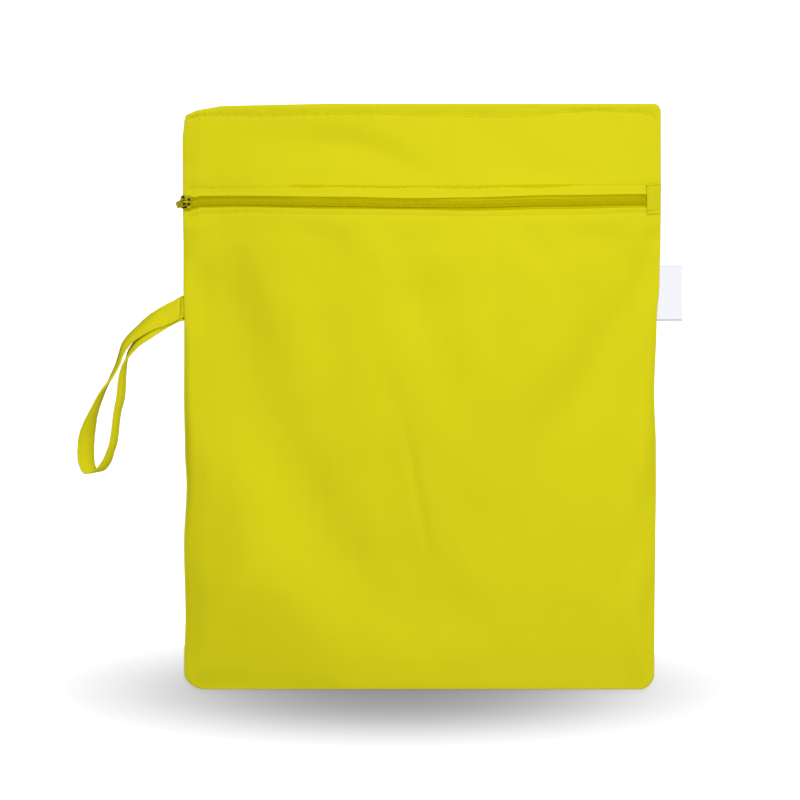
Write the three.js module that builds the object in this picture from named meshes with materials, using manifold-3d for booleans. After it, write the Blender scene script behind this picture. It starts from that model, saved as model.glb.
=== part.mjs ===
// A flat zipped cloth pouch with a wrist strap, lying on its back with its front up.
// Millimetres. X runs to the right along the zip, Y up the front, Z out of the front.
// The origin is the middle of the back panel's flat underside.
import * as THREE from "three";
import { mergeVertices } from "three/addons/utils/BufferGeometryUtils.js";
import Module from "manifold-3d";

const wasm = await Module();
wasm.setup();

// Pouch
const WIDTH = 324.4;
const HEIGHT = 398;
const CLOTH = 1; // a panel with its seam allowance and lining
const GAP = 0.3; // clearance between touching pieces
const LOFT = 14; // how far the front swells above its side seams
const SEAM_REACH = 50; // distance from a seam over which the front rises to its full loft
const EDGE_WAVE = 5; // most that a side seam draws in
const TOP_SLOPE = 2.7; // how far the top edge falls towards its left corner
const FLARE = 16; // how far a bulge of the seam runs out
const SEAM_EASE = 6; // level cloth beside what passes through a seam

// Zip
const ZIP_FROM_TOP = 66.3;
const ZIP_GAP = 8; // between the two cloth lips
const ZIP_WAVE = 1.2; // most that the zip strays from a straight line
const TAPE_WIDTH = 12; // of one tape
const TAPE_PART = 0.5; // between the two tapes, under the coil
const TAPE_THICK = 0.6;
const COIL_WIDTH = 5;
const COIL_HIGH = 1.3;
const ZIP_CALM = 14; // half width of the band beside the zip that stays free of folds
const FOLD_FADE = 28; // distance over which the folds come back past that band

// Slider and pull
const SLIDER_LONG = 7.6;
const SLIDER_WIDE = 9.6;
const SLIDER_OUT = 1.6; // how far its nose stands out past the side seam
const PLATE_THICK = 0.9;
const FLANGE_THICK = 0.7;
const NECK_LONG = 1.1;
const NECK_WIDE = 3;
const BRIDGE_LONG = 4.4;
const BRIDGE_WIDE = 1.3;
const BRIDGE_THICK = 0.6;
const BAR = 1; // thickness of the pull's cross bar and of its plate
const PLAY = 0.3; // running clearance of the pull
const PULL_LONG = 7.6; // from its pivot to its tip
const PULL_WIDE = 4.7;
const PULL_SKEW = THREE.MathUtils.degToRad(18);

// Tab over the right end of the zip
const TAB_WIDE = 10.2;
const TAB_HIGH = 21.5;

// Wrist strap
const STRAP_WIDTH = 15;
const STRAP_THICK = 1.2;
const STRAP_REACH = 72; // from the side seam to the far side of the loop
const STRAP_DROP = 111.7; // from the seam down to the bottom of the loop
const STRAP_FROM_TOP = 139.2;
const STRAP_TUCK = 6; // length of each end inside the seam
const STRAP_SECTIONS = 62;

// Label
const LABEL_HIGH = 37.6;
const LABEL_OUT = 15; // past the side seam at its top end
const LABEL_THICK = 0.8;
const LABEL_FROM_TOP = 110;
const LABEL_TUCK = 5;
const LABEL_SINK = 1; // how far its free edge sinks below its sewn edge

const TOP = HEIGHT / 2;
const LEFT = -WIDTH / 2;
const RIGHT = WIDTH / 2;
const ZIP_Y = TOP - ZIP_FROM_TOP;
const STRAP_Y = TOP - STRAP_FROM_TOP;
const LABEL_Y = TOP - LABEL_FROM_TOP - LABEL_HIGH / 2;
const RIM = 2 * CLOTH + GAP; // height of the front at a plain seam

// Side seams from the bottom up: up is a share of HEIGHT from the bottom, left and right are how far each
// side draws in, as shares of EDGE_WAVE.
const SIDES = [
  { up: 0.0, left: 0.27, right: 0.95 },
  { up: 0.05, left: 0.27, right: 0.95 },
  { up: 0.12, left: 0.4, right: 0.95 },
  { up: 0.25, left: 0.27, right: 0.82 },
  { up: 0.35, left: 0.54, right: 0.7 },
  { up: 0.41, left: 0.27, right: 0.68 },
  { up: 0.5, left: 0.27, right: 0.95 },
  { up: 0.63, left: 0.27, right: 0.7 },
  { up: 0.69, left: 0.27, right: 0.27 },
  { up: 0.76, left: 0.14, right: 0.14 },
  { up: 0.84, left: 0.0, right: 0.0 },
  { up: 1.0, left: 0.0, right: 0.0 },
];

// Corners, as quarter ellipses: wide is a share of WIDTH, tall a share of HEIGHT.
const CORNERS = {
  topLeft: { wide: 0.046, tall: 0.026 },
  topRight: { wide: 0.017, tall: 0.015 },
  bottomLeft: { wide: 0.05, tall: 0.03 },
  bottomRight: { wide: 0.036, tall: 0.027 },
};

// Fall of the top edge: across is a share of WIDTH from the middle, drop a share of TOP_SLOPE.
const TOP_EDGE = [
  { across: -0.5, drop: 1.0 },
  { across: -0.43, drop: 0.75 },
  { across: -0.31, drop: 0.0 },
  { across: 0.5, drop: 0.0 },
];

// The zip's course from left to right: along is a share of WIDTH from the middle, rise a share of ZIP_WAVE,
// gap a share of ZIP_GAP.
const ZIP_COURSE = [
  { along: -0.478, rise: -0.5, gap: 1.02 },
  { along: -0.46, rise: 0.14, gap: 1.02 },
  { along: -0.4, rise: 0.6, gap: 0.93 },
  { along: -0.17, rise: -0.3, gap: 0.98 },
  { along: -0.02, rise: -0.9, gap: 0.92 },
  { along: 0.09, rise: -0.85, gap: 1.05 },
  { along: 0.28, rise: 0.4, gap: 1.07 },
  { along: 0.46, rise: 1.15, gap: 1.04 },
];

// Folds of the front, each a bent line through three points. x is a share of WIDTH from the middle, y a share
// of HEIGHT from the bottom, deep a share of LOFT (below zero for a ridge), broad a share of WIDTH.
const FOLDS = [
  { x0: -0.38, y0: 0.776, x1: -0.276, y1: 0.46, x2: 0.06, y2: 0.084, deep: 0.17, broad: 0.036 },
  { x0: -0.433, y0: 0.665, x1: -0.36, y1: 0.426, x2: -0.066, y2: 0.118, deep: -0.1, broad: 0.04 },
  { x0: -0.192, y0: 0.793, x1: -0.16, y1: 0.62, x2: -0.045, y2: 0.494, deep: 0.1, broad: 0.035 },
  { x0: -0.035, y0: 0.494, x1: -0.003, y1: 0.306, x2: 0.039, y2: 0.118, deep: 0.08, broad: 0.032 },
  { x0: 0.458, y0: 0.665, x1: 0.343, y1: 0.554, x2: 0.2, y2: 0.485, deep: 0.15, broad: 0.036 },
  { x0: 0.437, y0: 0.614, x1: 0.44, y1: 0.4, x2: 0.44, y2: 0.15, deep: -0.07, broad: 0.034 },
  { x0: 0.374, y0: 0.152, x1: 0.43, y1: 0.19, x2: 0.479, y2: 0.22, deep: 0.07, broad: 0.03 },
  { x0: -0.276, y0: 0.973, x1: -0.14, y1: 0.947, x2: 0.039, y2: 0.9, deep: 0.09, broad: 0.03 },
];

// The strap's course from its upper end, round the loop and back to its lower end. out and down are the
// middle of the strap as shares of STRAP_REACH and STRAP_DROP, leanX and leanY where its raised edge stands
// from its low edge as shares of STRAP_WIDTH, lift how far its low edge has risen from the ground to its
// level in the seam.
const STRAP = [
  { out: 0.0, down: -0.012, leanX: 0.0, leanY: -1.0, lift: 1 },
  { out: 0.085, down: 0.017, leanX: 0.06, leanY: -0.96, lift: 0.84 },
  { out: 0.19, down: 0.05, leanX: 0.2, leanY: -0.86, lift: 0.67 },
  { out: 0.3, down: 0.087, leanX: 0.33, leanY: -0.59, lift: 0.31 },
  { out: 0.4, down: 0.133, leanX: 0.25, leanY: -0.44, lift: 0.11 },
  { out: 0.475, down: 0.174, leanX: 0.22, leanY: -0.32, lift: 0.04 },
  { out: 0.545, down: 0.225, leanX: 0.16, leanY: -0.12, lift: 0 },
  { out: 0.6, down: 0.313, leanX: 0.03, leanY: 0.0, lift: 0 },
  { out: 0.68, down: 0.42, leanX: -0.06, leanY: 0.02, lift: 0 },
  { out: 0.765, down: 0.515, leanX: -0.12, leanY: 0.03, lift: 0 },
  { out: 0.838, down: 0.609, leanX: -0.25, leanY: 0.05, lift: 0 },
  { out: 0.888, down: 0.7, leanX: -0.47, leanY: 0.05, lift: 0 },
  { out: 0.917, down: 0.782, leanX: -0.6, leanY: 0.02, lift: 0 },
  { out: 0.924, down: 0.861, leanX: -0.66, leanY: -0.04, lift: 0 },
  { out: 0.912, down: 0.935, leanX: -0.62, leanY: -0.1, lift: 0 },
  { out: 0.872, down: 0.985, leanX: -0.48, leanY: -0.12, lift: 0 },
  { out: 0.792, down: 0.973, leanX: -0.36, leanY: 0.0, lift: 0 },
  { out: 0.731, down: 0.929, leanX: -0.3, leanY: 0.0, lift: 0 },
  { out: 0.687, down: 0.875, leanX: -0.25, leanY: 0.0, lift: 0 },
  { out: 0.658, down: 0.819, leanX: -0.24, leanY: 0.0, lift: 0 },
  { out: 0.617, down: 0.624, leanX: -0.22, leanY: 0.02, lift: 0 },
  { out: 0.59, down: 0.539, leanX: -0.22, leanY: 0.02, lift: 0 },
  { out: 0.572, down: 0.405, leanX: -0.12, leanY: 0.02, lift: 0 },
  { out: 0.543, down: 0.326, leanX: 0.0, leanY: 0.0, lift: 0 },
  { out: 0.5, down: 0.274, leanX: 0.1, leanY: -0.09, lift: 0 },
  { out: 0.42, down: 0.21, leanX: 0.18, leanY: -0.22, lift: 0 },
  { out: 0.33, down: 0.151, leanX: 0.28, leanY: -0.48, lift: 0.05 },
  { out: 0.225, down: 0.09, leanX: 0.24, leanY: -0.76, lift: 0.15 },
  { out: 0.11, down: 0.04, leanX: 0.08, leanY: -0.95, lift: 0.35 },
  { out: 0.0, down: 0.008, leanX: 0.0, leanY: -1.0, lift: 1 },
];

const COLOURS = {
  cloth: 0xdbd51e,
  tape: 0xb8ae01,
  coil: 0xb4aa08,
  paint: 0xaba41a,
  label: 0xf3f3fb,
};

const CLOTH_FINISH = { roughness: 0.85, metalness: 0 };
const PAINT_FINISH = { roughness: 0.4, metalness: 0.6 };

// Goes from 0 to 1 without a corner as t goes from 0 to 1.
const ease = (t) => THREE.MathUtils.smoothstep(t, 0, 1);

// Reads one column of a table at a place between its rows, which rise in place, eased from row to row.
function read(table, placeColumn, column, place) {
  const next = table.findIndex((row) => row[placeColumn] > place);
  if (next === 0) return table[0][column];
  if (next < 0) return table[table.length - 1][column];
  const [a, b] = [table[next - 1], table[next]];
  const t = ease((place - a[placeColumn]) / (b[placeColumn] - a[placeColumn]));
  return THREE.MathUtils.lerp(a[column], b[column], t);
}

// A bulge of 1 over half a width each side of its middle, run out over FLARE.
const bulge = (distance, half) => 1 - ease((Math.abs(distance) - half) / FLARE);

// How far a quarter ellipse of a corner draws a side in, at a distance from the end it rounds.
function cornerInset(corner, fromEnd) {
  const t = THREE.MathUtils.clamp(1 - fromEnd / (corner.tall * HEIGHT), 0, 1);
  return corner.wide * WIDTH * (1 - Math.sqrt(1 - t * t));
}

// Left and right edge of the pouch at a height y.
function sideEdges(y) {
  const up = y / HEIGHT + 0.5;
  const fromTop = TOP - y;
  const fromBottom = TOP + y;
  const left = EDGE_WAVE * read(SIDES, "up", "left", up);
  const right = EDGE_WAVE * read(SIDES, "up", "right", up);
  const leftCorners = cornerInset(CORNERS.topLeft, fromTop) + cornerInset(CORNERS.bottomLeft, fromBottom);
  const rightCorners = cornerInset(CORNERS.topRight, fromTop) + cornerInset(CORNERS.bottomRight, fromBottom);
  return { left: LEFT + left + leftCorners, right: RIGHT - right - rightCorners };
}

// How far the top edge lies below its highest level; it runs out downwards before the zip.
function topFall(x, y) {
  const near = ease(1 - (TOP - y) / (ZIP_FROM_TOP / 2));
  return TOP_SLOPE * read(TOP_EDGE, "across", "drop", x / WIDTH) * near;
}

const zipMiddle = (x) => ZIP_Y + ZIP_WAVE * read(ZIP_COURSE, "along", "rise", x / WIDTH);

// Half the gap between the lips: it clears the coil, and the lips stand apart round the slider.
function lipHalfGap(x) {
  const course = (ZIP_GAP / 2) * read(ZIP_COURSE, "along", "gap", x / WIDTH);
  const besideCoil = COIL_WIDTH / 2 + 2 * GAP;
  const roundSlider = SLIDER_WIDE / 2 + 2 * GAP;
  const past = ease((x - (LEFT + SLIDER_LONG)) / SLIDER_LONG);
  return THREE.MathUtils.lerp(roundSlider, Math.max(course, besideCoil), past);
}

// The slider needs level cloth at the left end of the zip.
const sliderLift = PLATE_THICK + TAPE_THICK + 2 * GAP;
const tapeLift = GAP + TAPE_THICK;
const strapLift = 2 * (STRAP_THICK + GAP);
const labelLift = LABEL_THICK + GAP;

// Height of the rim at the side seams, raised where something passes through the seam.
function leftRim(y) {
  const zip = sliderLift * bulge(y - ZIP_Y, ZIP_CALM);
  const strap = strapLift * bulge(y - STRAP_Y, STRAP_WIDTH / 2 + SEAM_EASE);
  return Math.max(zip, strap);
}

function rightRim(y) {
  const zip = tapeLift * bulge(y - ZIP_Y, ZIP_CALM);
  const label = labelLift * bulge(y - LABEL_Y, LABEL_HIGH / 2 + SEAM_EASE);
  return Math.max(zip, label);
}

// Share of the loft at a distance from a seam: steep beside the seam, level past SEAM_REACH.
const swell = (distance) => 1 - (1 - THREE.MathUtils.clamp(distance / SEAM_REACH, 0, 1)) ** 2.4;

const FOLD_STEPS = 24;

// A fold's line as points, bent so that it passes through its middle point.
function foldLine(fold) {
  const point = (x, y) => new THREE.Vector2(x * WIDTH, (y - 0.5) * HEIGHT);
  const [start, middle, end] = [point(fold.x0, fold.y0), point(fold.x1, fold.y1), point(fold.x2, fold.y2)];
  const pull = middle.clone().multiplyScalar(2).sub(start.clone().add(end).multiplyScalar(0.5));
  return new THREE.QuadraticBezierCurve(start, pull, end).getPoints(FOLD_STEPS);
}

const foldLines = FOLDS.map(foldLine);

// Depth of all folds at a point; each runs out at its ends and beside the zip.
function foldDepth(x, y) {
  const calm = ease((Math.abs(y - ZIP_Y) - ZIP_CALM) / FOLD_FADE);
  let depth = 0;
  FOLDS.forEach((fold, index) => {
    const broad = fold.broad * WIDTH;
    const pressed = foldLines[index].map((p, step) => {
      const taper = Math.sin((Math.PI * step) / FOLD_STEPS) ** 0.5;
      return taper * Math.exp(-((p.x - x) ** 2 + (p.y - y) ** 2) / broad ** 2);
    });
    depth += fold.deep * LOFT * Math.max(...pressed);
  });
  return depth * calm;
}

// Height of the outer face of the front.
function frontHeight(x, y) {
  const { left, right } = sideEdges(y);
  const besideZip = bulge(y - ZIP_Y, ZIP_CALM);
  const level = (SLIDER_LONG + GAP) * besideZip;
  const fromLeft = Math.max(0, x - left);
  const fromRight = Math.max(0, right - x);
  const across = swell(Math.max(0, fromLeft - level)) * swell(fromRight);
  const upward = swell(TOP - y) * swell(TOP + y);
  const rimRaise =
    leftRim(y) * (1 - ease((fromLeft - level) / FLARE)) + rightRim(y) * (1 - ease(fromRight / FLARE));
  return RIM + rimRaise + (LOFT - foldDepth(x, y)) * across * upward;
}

// Height of the upper face of the zip tapes.
const tapeTop = (x) => frontHeight(x, zipMiddle(x)) - CLOTH - GAP;

// Shares from 0 to 1, closer together near both ends.
function stations(count) {
  return Array.from({ length: count + 1 }, (_, k) => {
    const even = k / count;
    const crowded = 0.5 - 0.5 * Math.cos(Math.PI * even);
    return 0.45 * even + 0.55 * crowded;
  });
}

// A closed slab between two grids of points of one size: outer faces up, inner faces down.
function slab(outer, inner) {
  const rows = outer.length;
  const cols = outer[0].length;
  const up = (i, j) => i * cols + j;
  const low = (i, j) => rows * cols + i * cols + j;
  const faces = [];
  const quad = (a, b, c, d) => faces.push(a, b, c, a, c, d);
  for (let i = 0; i + 1 < rows; i++) {
    for (let j = 0; j + 1 < cols; j++) {
      quad(up(i, j), up(i, j + 1), up(i + 1, j + 1), up(i + 1, j));
      quad(low(i, j), low(i + 1, j), low(i + 1, j + 1), low(i, j + 1));
    }
    quad(up(i, 0), up(i + 1, 0), low(i + 1, 0), low(i, 0));
    quad(low(i, cols - 1), low(i + 1, cols - 1), up(i + 1, cols - 1), up(i, cols - 1));
  }
  for (let j = 0; j + 1 < cols; j++) {
    quad(low(0, j), low(0, j + 1), up(0, j + 1), up(0, j));
    quad(up(rows - 1, j), up(rows - 1, j + 1), low(rows - 1, j + 1), low(rows - 1, j));
  }
  const positions = [...outer.flat(), ...inner.flat()].flatMap((p) => [p.x, p.y, p.z]);
  const geometry = new THREE.BufferGeometry();
  geometry.setAttribute("position", new THREE.Float32BufferAttribute(positions, 3));
  geometry.setIndex(faces);
  geometry.computeVertexNormals();
  return geometry;
}

// A slab of one thickness under a grid of points, straight down.
function slabUnder(outer, thick) {
  const drop = new THREE.Vector3(0, 0, thick);
  const inner = outer.map((row) => row.map((p) => p.clone().sub(drop)));
  return slab(outer, inner);
}

const ACROSS = stations(26);

// Grid of the front between two heights of the pouch, which may vary along the zip.
function frontGrid(fromY, toY, rowShares) {
  return rowShares.map((v) =>
    ACROSS.map((u) => {
      const flat = THREE.MathUtils.lerp(fromY(0), toY(0), v);
      const { left, right } = sideEdges(flat);
      const x = THREE.MathUtils.lerp(left, right, u);
      const y = THREE.MathUtils.lerp(fromY(x), toY(x), v);
      return new THREE.Vector3(x, y - topFall(x, y), frontHeight(x, y));
    }),
  );
}

const bottomEdge = () => -TOP;
const topEdge = () => TOP;
const lowerLip = (x) => zipMiddle(x) - lipHalfGap(x);
const upperLip = (x) => zipMiddle(x) + lipHalfGap(x);

const frontLower = () => slabUnder(frontGrid(bottomEdge, lowerLip, stations(36)), CLOTH);
const frontUpper = () => slabUnder(frontGrid(upperLip, topEdge, stations(11)), CLOTH);

// The back panel is one flat piece of cloth of the pouch's outline.
function backPanel() {
  const heights = stations(44).map((v) => (v - 0.5) * HEIGHT);
  const leftSide = heights.map((y) => new THREE.Vector2(sideEdges(y).left, y));
  const rightSide = heights.map((y) => new THREE.Vector2(sideEdges(y).right, y));
  const [start, end] = [leftSide[leftSide.length - 1], rightSide[rightSide.length - 1]];
  const topSide = ACROSS.slice(1, -1).map((u) => start.clone().lerp(end, u));
  const outline = [...leftSide, ...topSide, ...rightSide.reverse()].reverse();
  outline.forEach((p) => (p.y -= topFall(p.x, p.y)));
  return new THREE.ExtrudeGeometry(new THREE.Shape(outline), { depth: CLOTH, bevelEnabled: false });
}

const zipLeft = sideEdges(ZIP_Y).left + GAP;
const zipRight = sideEdges(ZIP_Y).right - GAP;

// Places along the zip at which its parts have a section: those of the panels' own stations.
const zipStations = ACROSS.map((u) =>
  THREE.MathUtils.clamp(THREE.MathUtils.lerp(LEFT, RIGHT, u), zipLeft, zipRight),
);

// One tape, on side 1 above the coil or -1 below it.
function tape(side) {
  const offsets = [TAPE_PART / 2, TAPE_PART / 2 + TAPE_WIDTH].map((w) => side * w).sort((a, b) => a - b);
  const outer = offsets.map((offset) =>
    zipStations.map((x) => new THREE.Vector3(x, zipMiddle(x) + offset, tapeTop(x))),
  );
  return slabUnder(outer, TAPE_THICK);
}

// The closed coil: a low band with bevelled edges that lies on both tapes.
function coil() {
  const half = COIL_WIDTH / 2;
  const bevel = COIL_HIGH / 3;
  const across = [-half, -half + bevel, half - bevel, half];
  const heights = [COIL_HIGH - bevel, COIL_HIGH, COIL_HIGH, COIL_HIGH - bevel];
  const base = (x) => tapeTop(x) + GAP;
  const outer = across.map((offset, k) =>
    zipStations.map((x) => new THREE.Vector3(x, zipMiddle(x) + offset, base(x) + heights[k])),
  );
  const inner = across.map((offset) =>
    zipStations.map((x) => new THREE.Vector3(x, zipMiddle(x) + offset, base(x))),
  );
  return slab(outer, inner);
}

// A boolean solid of a closed three.js geometry, and back.
function solidOf(geometry) {
  const bare = geometry.index ? geometry.toNonIndexed() : geometry.clone();
  bare.deleteAttribute("normal");
  bare.deleteAttribute("uv");
  const merged = mergeVertices(bare, 1e-4);
  return new wasm.Manifold(
    new wasm.Mesh({
      numProp: 3,
      vertProperties: merged.attributes.position.array,
      triVerts: new Uint32Array(merged.index.array),
    }),
  );
}

function geometryOf(solid) {
  const mesh = solid.getMesh();
  const geometry = new THREE.BufferGeometry();
  geometry.setAttribute("position", new THREE.BufferAttribute(mesh.vertProperties, 3));
  geometry.setIndex(new THREE.BufferAttribute(mesh.triVerts, 1));
  geometry.computeVertexNormals();
  return geometry;
}

const fused = (geometries) => geometryOf(geometries.map(solidOf).reduce((a, b) => a.add(b)));

// A rectangle with round corners, centred on the origin.
function roundedRectangle(long, wide, radius) {
  const shape = new THREE.Shape();
  const [x, y] = [long / 2, wide / 2];
  shape.moveTo(-x + radius, -y);
  shape.lineTo(x - radius, -y);
  shape.absarc(x - radius, -y + radius, radius, -Math.PI / 2, 0);
  shape.lineTo(x, y - radius);
  shape.absarc(x - radius, y - radius, radius, 0, Math.PI / 2);
  shape.lineTo(-x + radius, y);
  shape.absarc(-x + radius, y - radius, radius, Math.PI / 2, Math.PI);
  shape.lineTo(-x, -y + radius);
  shape.absarc(-x + radius, -y + radius, radius, Math.PI, Math.PI * 1.5);
  return shape;
}

const CORNER_STEPS = 4;
const sliderX = LEFT - SLIDER_OUT + SLIDER_LONG / 2;
const sliderY = zipMiddle(sliderX);

// Levels of the slider, worked out from what it clasps.
const clasped = tapeTop(sliderX);
const lowerPlateTop = clasped - TAPE_THICK - GAP;
const lowerPlateBottom = lowerPlateTop - PLATE_THICK;
const upperPlateBottom = clasped + GAP + COIL_HIGH + GAP;
const upperPlateTop = upperPlateBottom + PLATE_THICK;
const pivotZ = upperPlateTop + PLAY + BAR / 2;
const bridgeUnder = pivotZ + BAR / 2 + PLAY;

// The pull sinks until it almost lies on the slider's nose.
const pullDroop = Math.atan(((2 / 3) * PLAY) / (SLIDER_LONG / 2));

// A plate of the slider between two levels.
function plate(bottom, top) {
  const shape = roundedRectangle(SLIDER_LONG, SLIDER_WIDE, SLIDER_LONG / 4);
  const geometry = new THREE.ExtrudeGeometry(shape, {
    depth: top - bottom,
    bevelEnabled: false,
    curveSegments: CORNER_STEPS,
  });
  return geometry.translate(0, 0, bottom);
}

// A box given by its middle and its extents, from one level to another.
const block = (x, y, long, wide, bottom, top) =>
  new THREE.BoxGeometry(long, wide, top - bottom).translate(x, y, (bottom + top) / 2);

// The bridge that holds the pull: an arch along the zip, standing on the upper plate.
function bridge() {
  const half = BRIDGE_LONG / 2;
  const outline = new THREE.Shape();
  const rise = bridgeUnder + BRIDGE_THICK - upperPlateTop;
  outline.moveTo(-half, -PLATE_THICK / 2);
  outline.lineTo(-half, rise - BRIDGE_THICK);
  outline.lineTo(-half + BRIDGE_THICK, rise);
  outline.lineTo(half - BRIDGE_THICK, rise);
  outline.lineTo(half, rise - BRIDGE_THICK);
  outline.lineTo(half, -PLATE_THICK / 2);
  outline.lineTo(half - BRIDGE_THICK, -PLATE_THICK / 2);
  outline.lineTo(half - BRIDGE_THICK, rise - BRIDGE_THICK);
  outline.lineTo(-half + BRIDGE_THICK, rise - BRIDGE_THICK);
  outline.lineTo(-half + BRIDGE_THICK, -PLATE_THICK / 2);
  const geometry = new THREE.ExtrudeGeometry(outline, { depth: BRIDGE_WIDE, bevelEnabled: false });
  return geometry.translate(0, 0, -BRIDGE_WIDE / 2).rotateX(Math.PI / 2).translate(0, 0, upperPlateTop);
}

// The slider: two plates joined by a neck at the nose, side flanges, and the bridge.
function slider() {
  const flangeY = SLIDER_WIDE / 2 - FLANGE_THICK / 2;
  const flangeLong = SLIDER_LONG / 2;
  const flangeBottom = clasped + GAP;
  const inPlate = upperPlateBottom + PLATE_THICK / 2;
  return fused([
    plate(lowerPlateBottom, lowerPlateTop),
    plate(upperPlateBottom, upperPlateTop),
    block(-SLIDER_LONG / 2 + NECK_LONG / 2, 0, NECK_LONG, NECK_WIDE, lowerPlateBottom, upperPlateTop),
    block(0, flangeY, flangeLong, FLANGE_THICK, flangeBottom, inPlate),
    block(0, -flangeY, flangeLong, FLANGE_THICK, flangeBottom, inPlate),
    bridge(),
  ]);
}

// The pull: a flat tab with an eye round the bridge and a cross bar under it. It is drawn pointing along -X
// from its pivot.
function pull() {
  const reach = BRIDGE_LONG / 2 + PLAY;
  const eyeEnd = reach + PLAY;
  const skewRoom = reach * Math.tan(PULL_SKEW);
  const eyeHalf = Math.min(BRIDGE_WIDE / 2 + PLAY + skewRoom, PULL_WIDE / 2 - BRIDGE_THICK);
  const long = PULL_LONG + BAR / 2;
  const flat = new THREE.ExtrudeGeometry(roundedRectangle(long, PULL_WIDE, PULL_WIDE / 6), {
    depth: BAR,
    bevelEnabled: false,
    curveSegments: CORNER_STEPS,
  });
  flat.translate((BAR - long) / 2, 0, -BAR / 2);
  const eye = block(-(eyeEnd + BAR / 2) / 2, 0, eyeEnd - BAR / 2, 2 * eyeHalf, -BAR, BAR);
  return geometryOf(solidOf(flat).subtract(solidOf(eye)));
}

// The tab of cloth over the right end of the zip, laid over both panels and sewn into the side seam.
function endTab() {
  const columns = stations(4);
  const rows = stations(8);
  const grid = (lift) =>
    rows.map((v) =>
      columns.map((u) => {
        const y = ZIP_Y + ZIP_WAVE + (v - 0.5) * TAB_HIGH;
        const x = sideEdges(y).right - TAB_WIDE * (1 - u);
        return new THREE.Vector3(x, y, frontHeight(x, y) + lift);
      }),
    );
  return slab(grid(2 * GAP + CLOTH), grid(2 * GAP));
}

// The strap as a ribbon on edge: its sections follow the course table, its ends lie flat in the seam.
function strap() {
  const lowerLevel = CLOTH + GAP + STRAP_THICK / 2;
  const upperLevel = lowerLevel + STRAP_THICK + GAP;
  const ground = GAP + STRAP_THICK / 2;
  const tuckRow = (row) => ({ ...row, out: -STRAP_TUCK / STRAP_REACH });
  const course = [tuckRow(STRAP[0]), ...STRAP, tuckRow(STRAP[STRAP.length - 1])];
  const middles = course.map((row, index) => {
    const level = index < course.length / 2 ? upperLevel : lowerLevel;
    const flat = Math.hypot(row.leanX, row.leanY);
    const z = GAP + (flat * STRAP_THICK) / 2 + row.lift * (level - ground);
    return new THREE.Vector3(LEFT - row.out * STRAP_REACH, STRAP_Y - row.down * STRAP_DROP, z);
  });
  const leans = course.map((row) => new THREE.Vector3(row.leanX, row.leanY, 0));
  const middleCurve = new THREE.CatmullRomCurve3(middles, false, "centripetal");
  const section = (k) => {
    const t = k / STRAP_SECTIONS;
    const low = middleCurve.getPoint(t);
    const step = Math.min(Math.floor(t * (course.length - 1)), course.length - 2);
    const lean = leans[step].clone().lerp(leans[step + 1], t * (course.length - 1) - step);
    const rise = Math.sqrt(Math.max(0, 1 - lean.lengthSq()));
    const width = new THREE.Vector3(lean.x, lean.y, rise).multiplyScalar(STRAP_WIDTH);
    const centre = low.clone().add(new THREE.Vector3(0, 0, width.z / 2));
    return { centre, width, along: middleCurve.getTangent(t) };
  };
  const sections = Array.from({ length: STRAP_SECTIONS + 1 }, (_, k) => section(k));
  const face = (side) =>
    [-0.5, 0.5].map((edge) =>
      sections.map(({ centre, width, along }) => {
        const normal = along.clone().cross(width).normalize();
        return centre
          .clone()
          .addScaledVector(width, edge)
          .addScaledVector(normal, side * STRAP_THICK * 0.5);
      }),
    );
  return slab(face(1), face(-1));
}

// The label: a folded strip of woven ribbon in the right side seam, its free edge sunk a little.
function label() {
  const columns = stations(4);
  const rows = stations(5);
  const outer = rows.map((v) =>
    columns.map((u) => {
      const y = LABEL_Y + (v - 0.5) * LABEL_HIGH;
      const seam = sideEdges(y).right;
      const free = RIGHT + LABEL_OUT;
      const x = THREE.MathUtils.lerp(seam - LABEL_TUCK, free, u);
      const out = ease((x - seam) / (free - seam));
      return new THREE.Vector3(x, y, CLOTH + GAP + LABEL_THICK - LABEL_SINK * out);
    }),
  );
  return slabUnder(outer, LABEL_THICK);
}

// One named sub-part with its own colour and finish.
function piece(name, geometry, colour, finish = CLOTH_FINISH) {
  const mesh = new THREE.Mesh(geometry, new THREE.MeshStandardMaterial({ color: colour, ...finish }));
  mesh.name = name;
  return mesh;
}

const bag = new THREE.Group();
bag.add(
  piece("back_panel", backPanel(), COLOURS.cloth),
  piece("front_lower_panel", frontLower(), COLOURS.cloth),
  piece("front_upper_panel", frontUpper(), COLOURS.cloth),
  piece("zipper_tape_upper", tape(1), COLOURS.tape),
  piece("zipper_tape_lower", tape(-1), COLOURS.tape),
  piece("zipper_coil", coil(), COLOURS.coil),
  piece("zip_end_tab", endTab(), COLOURS.cloth),
  piece("wrist_strap", strap(), COLOURS.cloth),
  piece("side_label", label(), COLOURS.label),
);

const runner = new THREE.Group();
runner.position.set(sliderX, sliderY, 0);
runner.add(piece("zipper_slider", slider(), COLOURS.paint, PAINT_FINISH));

const tab = piece("zipper_pull", pull(), COLOURS.paint, PAINT_FINISH);
tab.position.set(0, 0, pivotZ);
tab.rotation.set(0, -pullDroop, PULL_SKEW, "ZYX");
runner.add(tab);
bag.add(runner);

export default bag;
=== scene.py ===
import math

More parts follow.
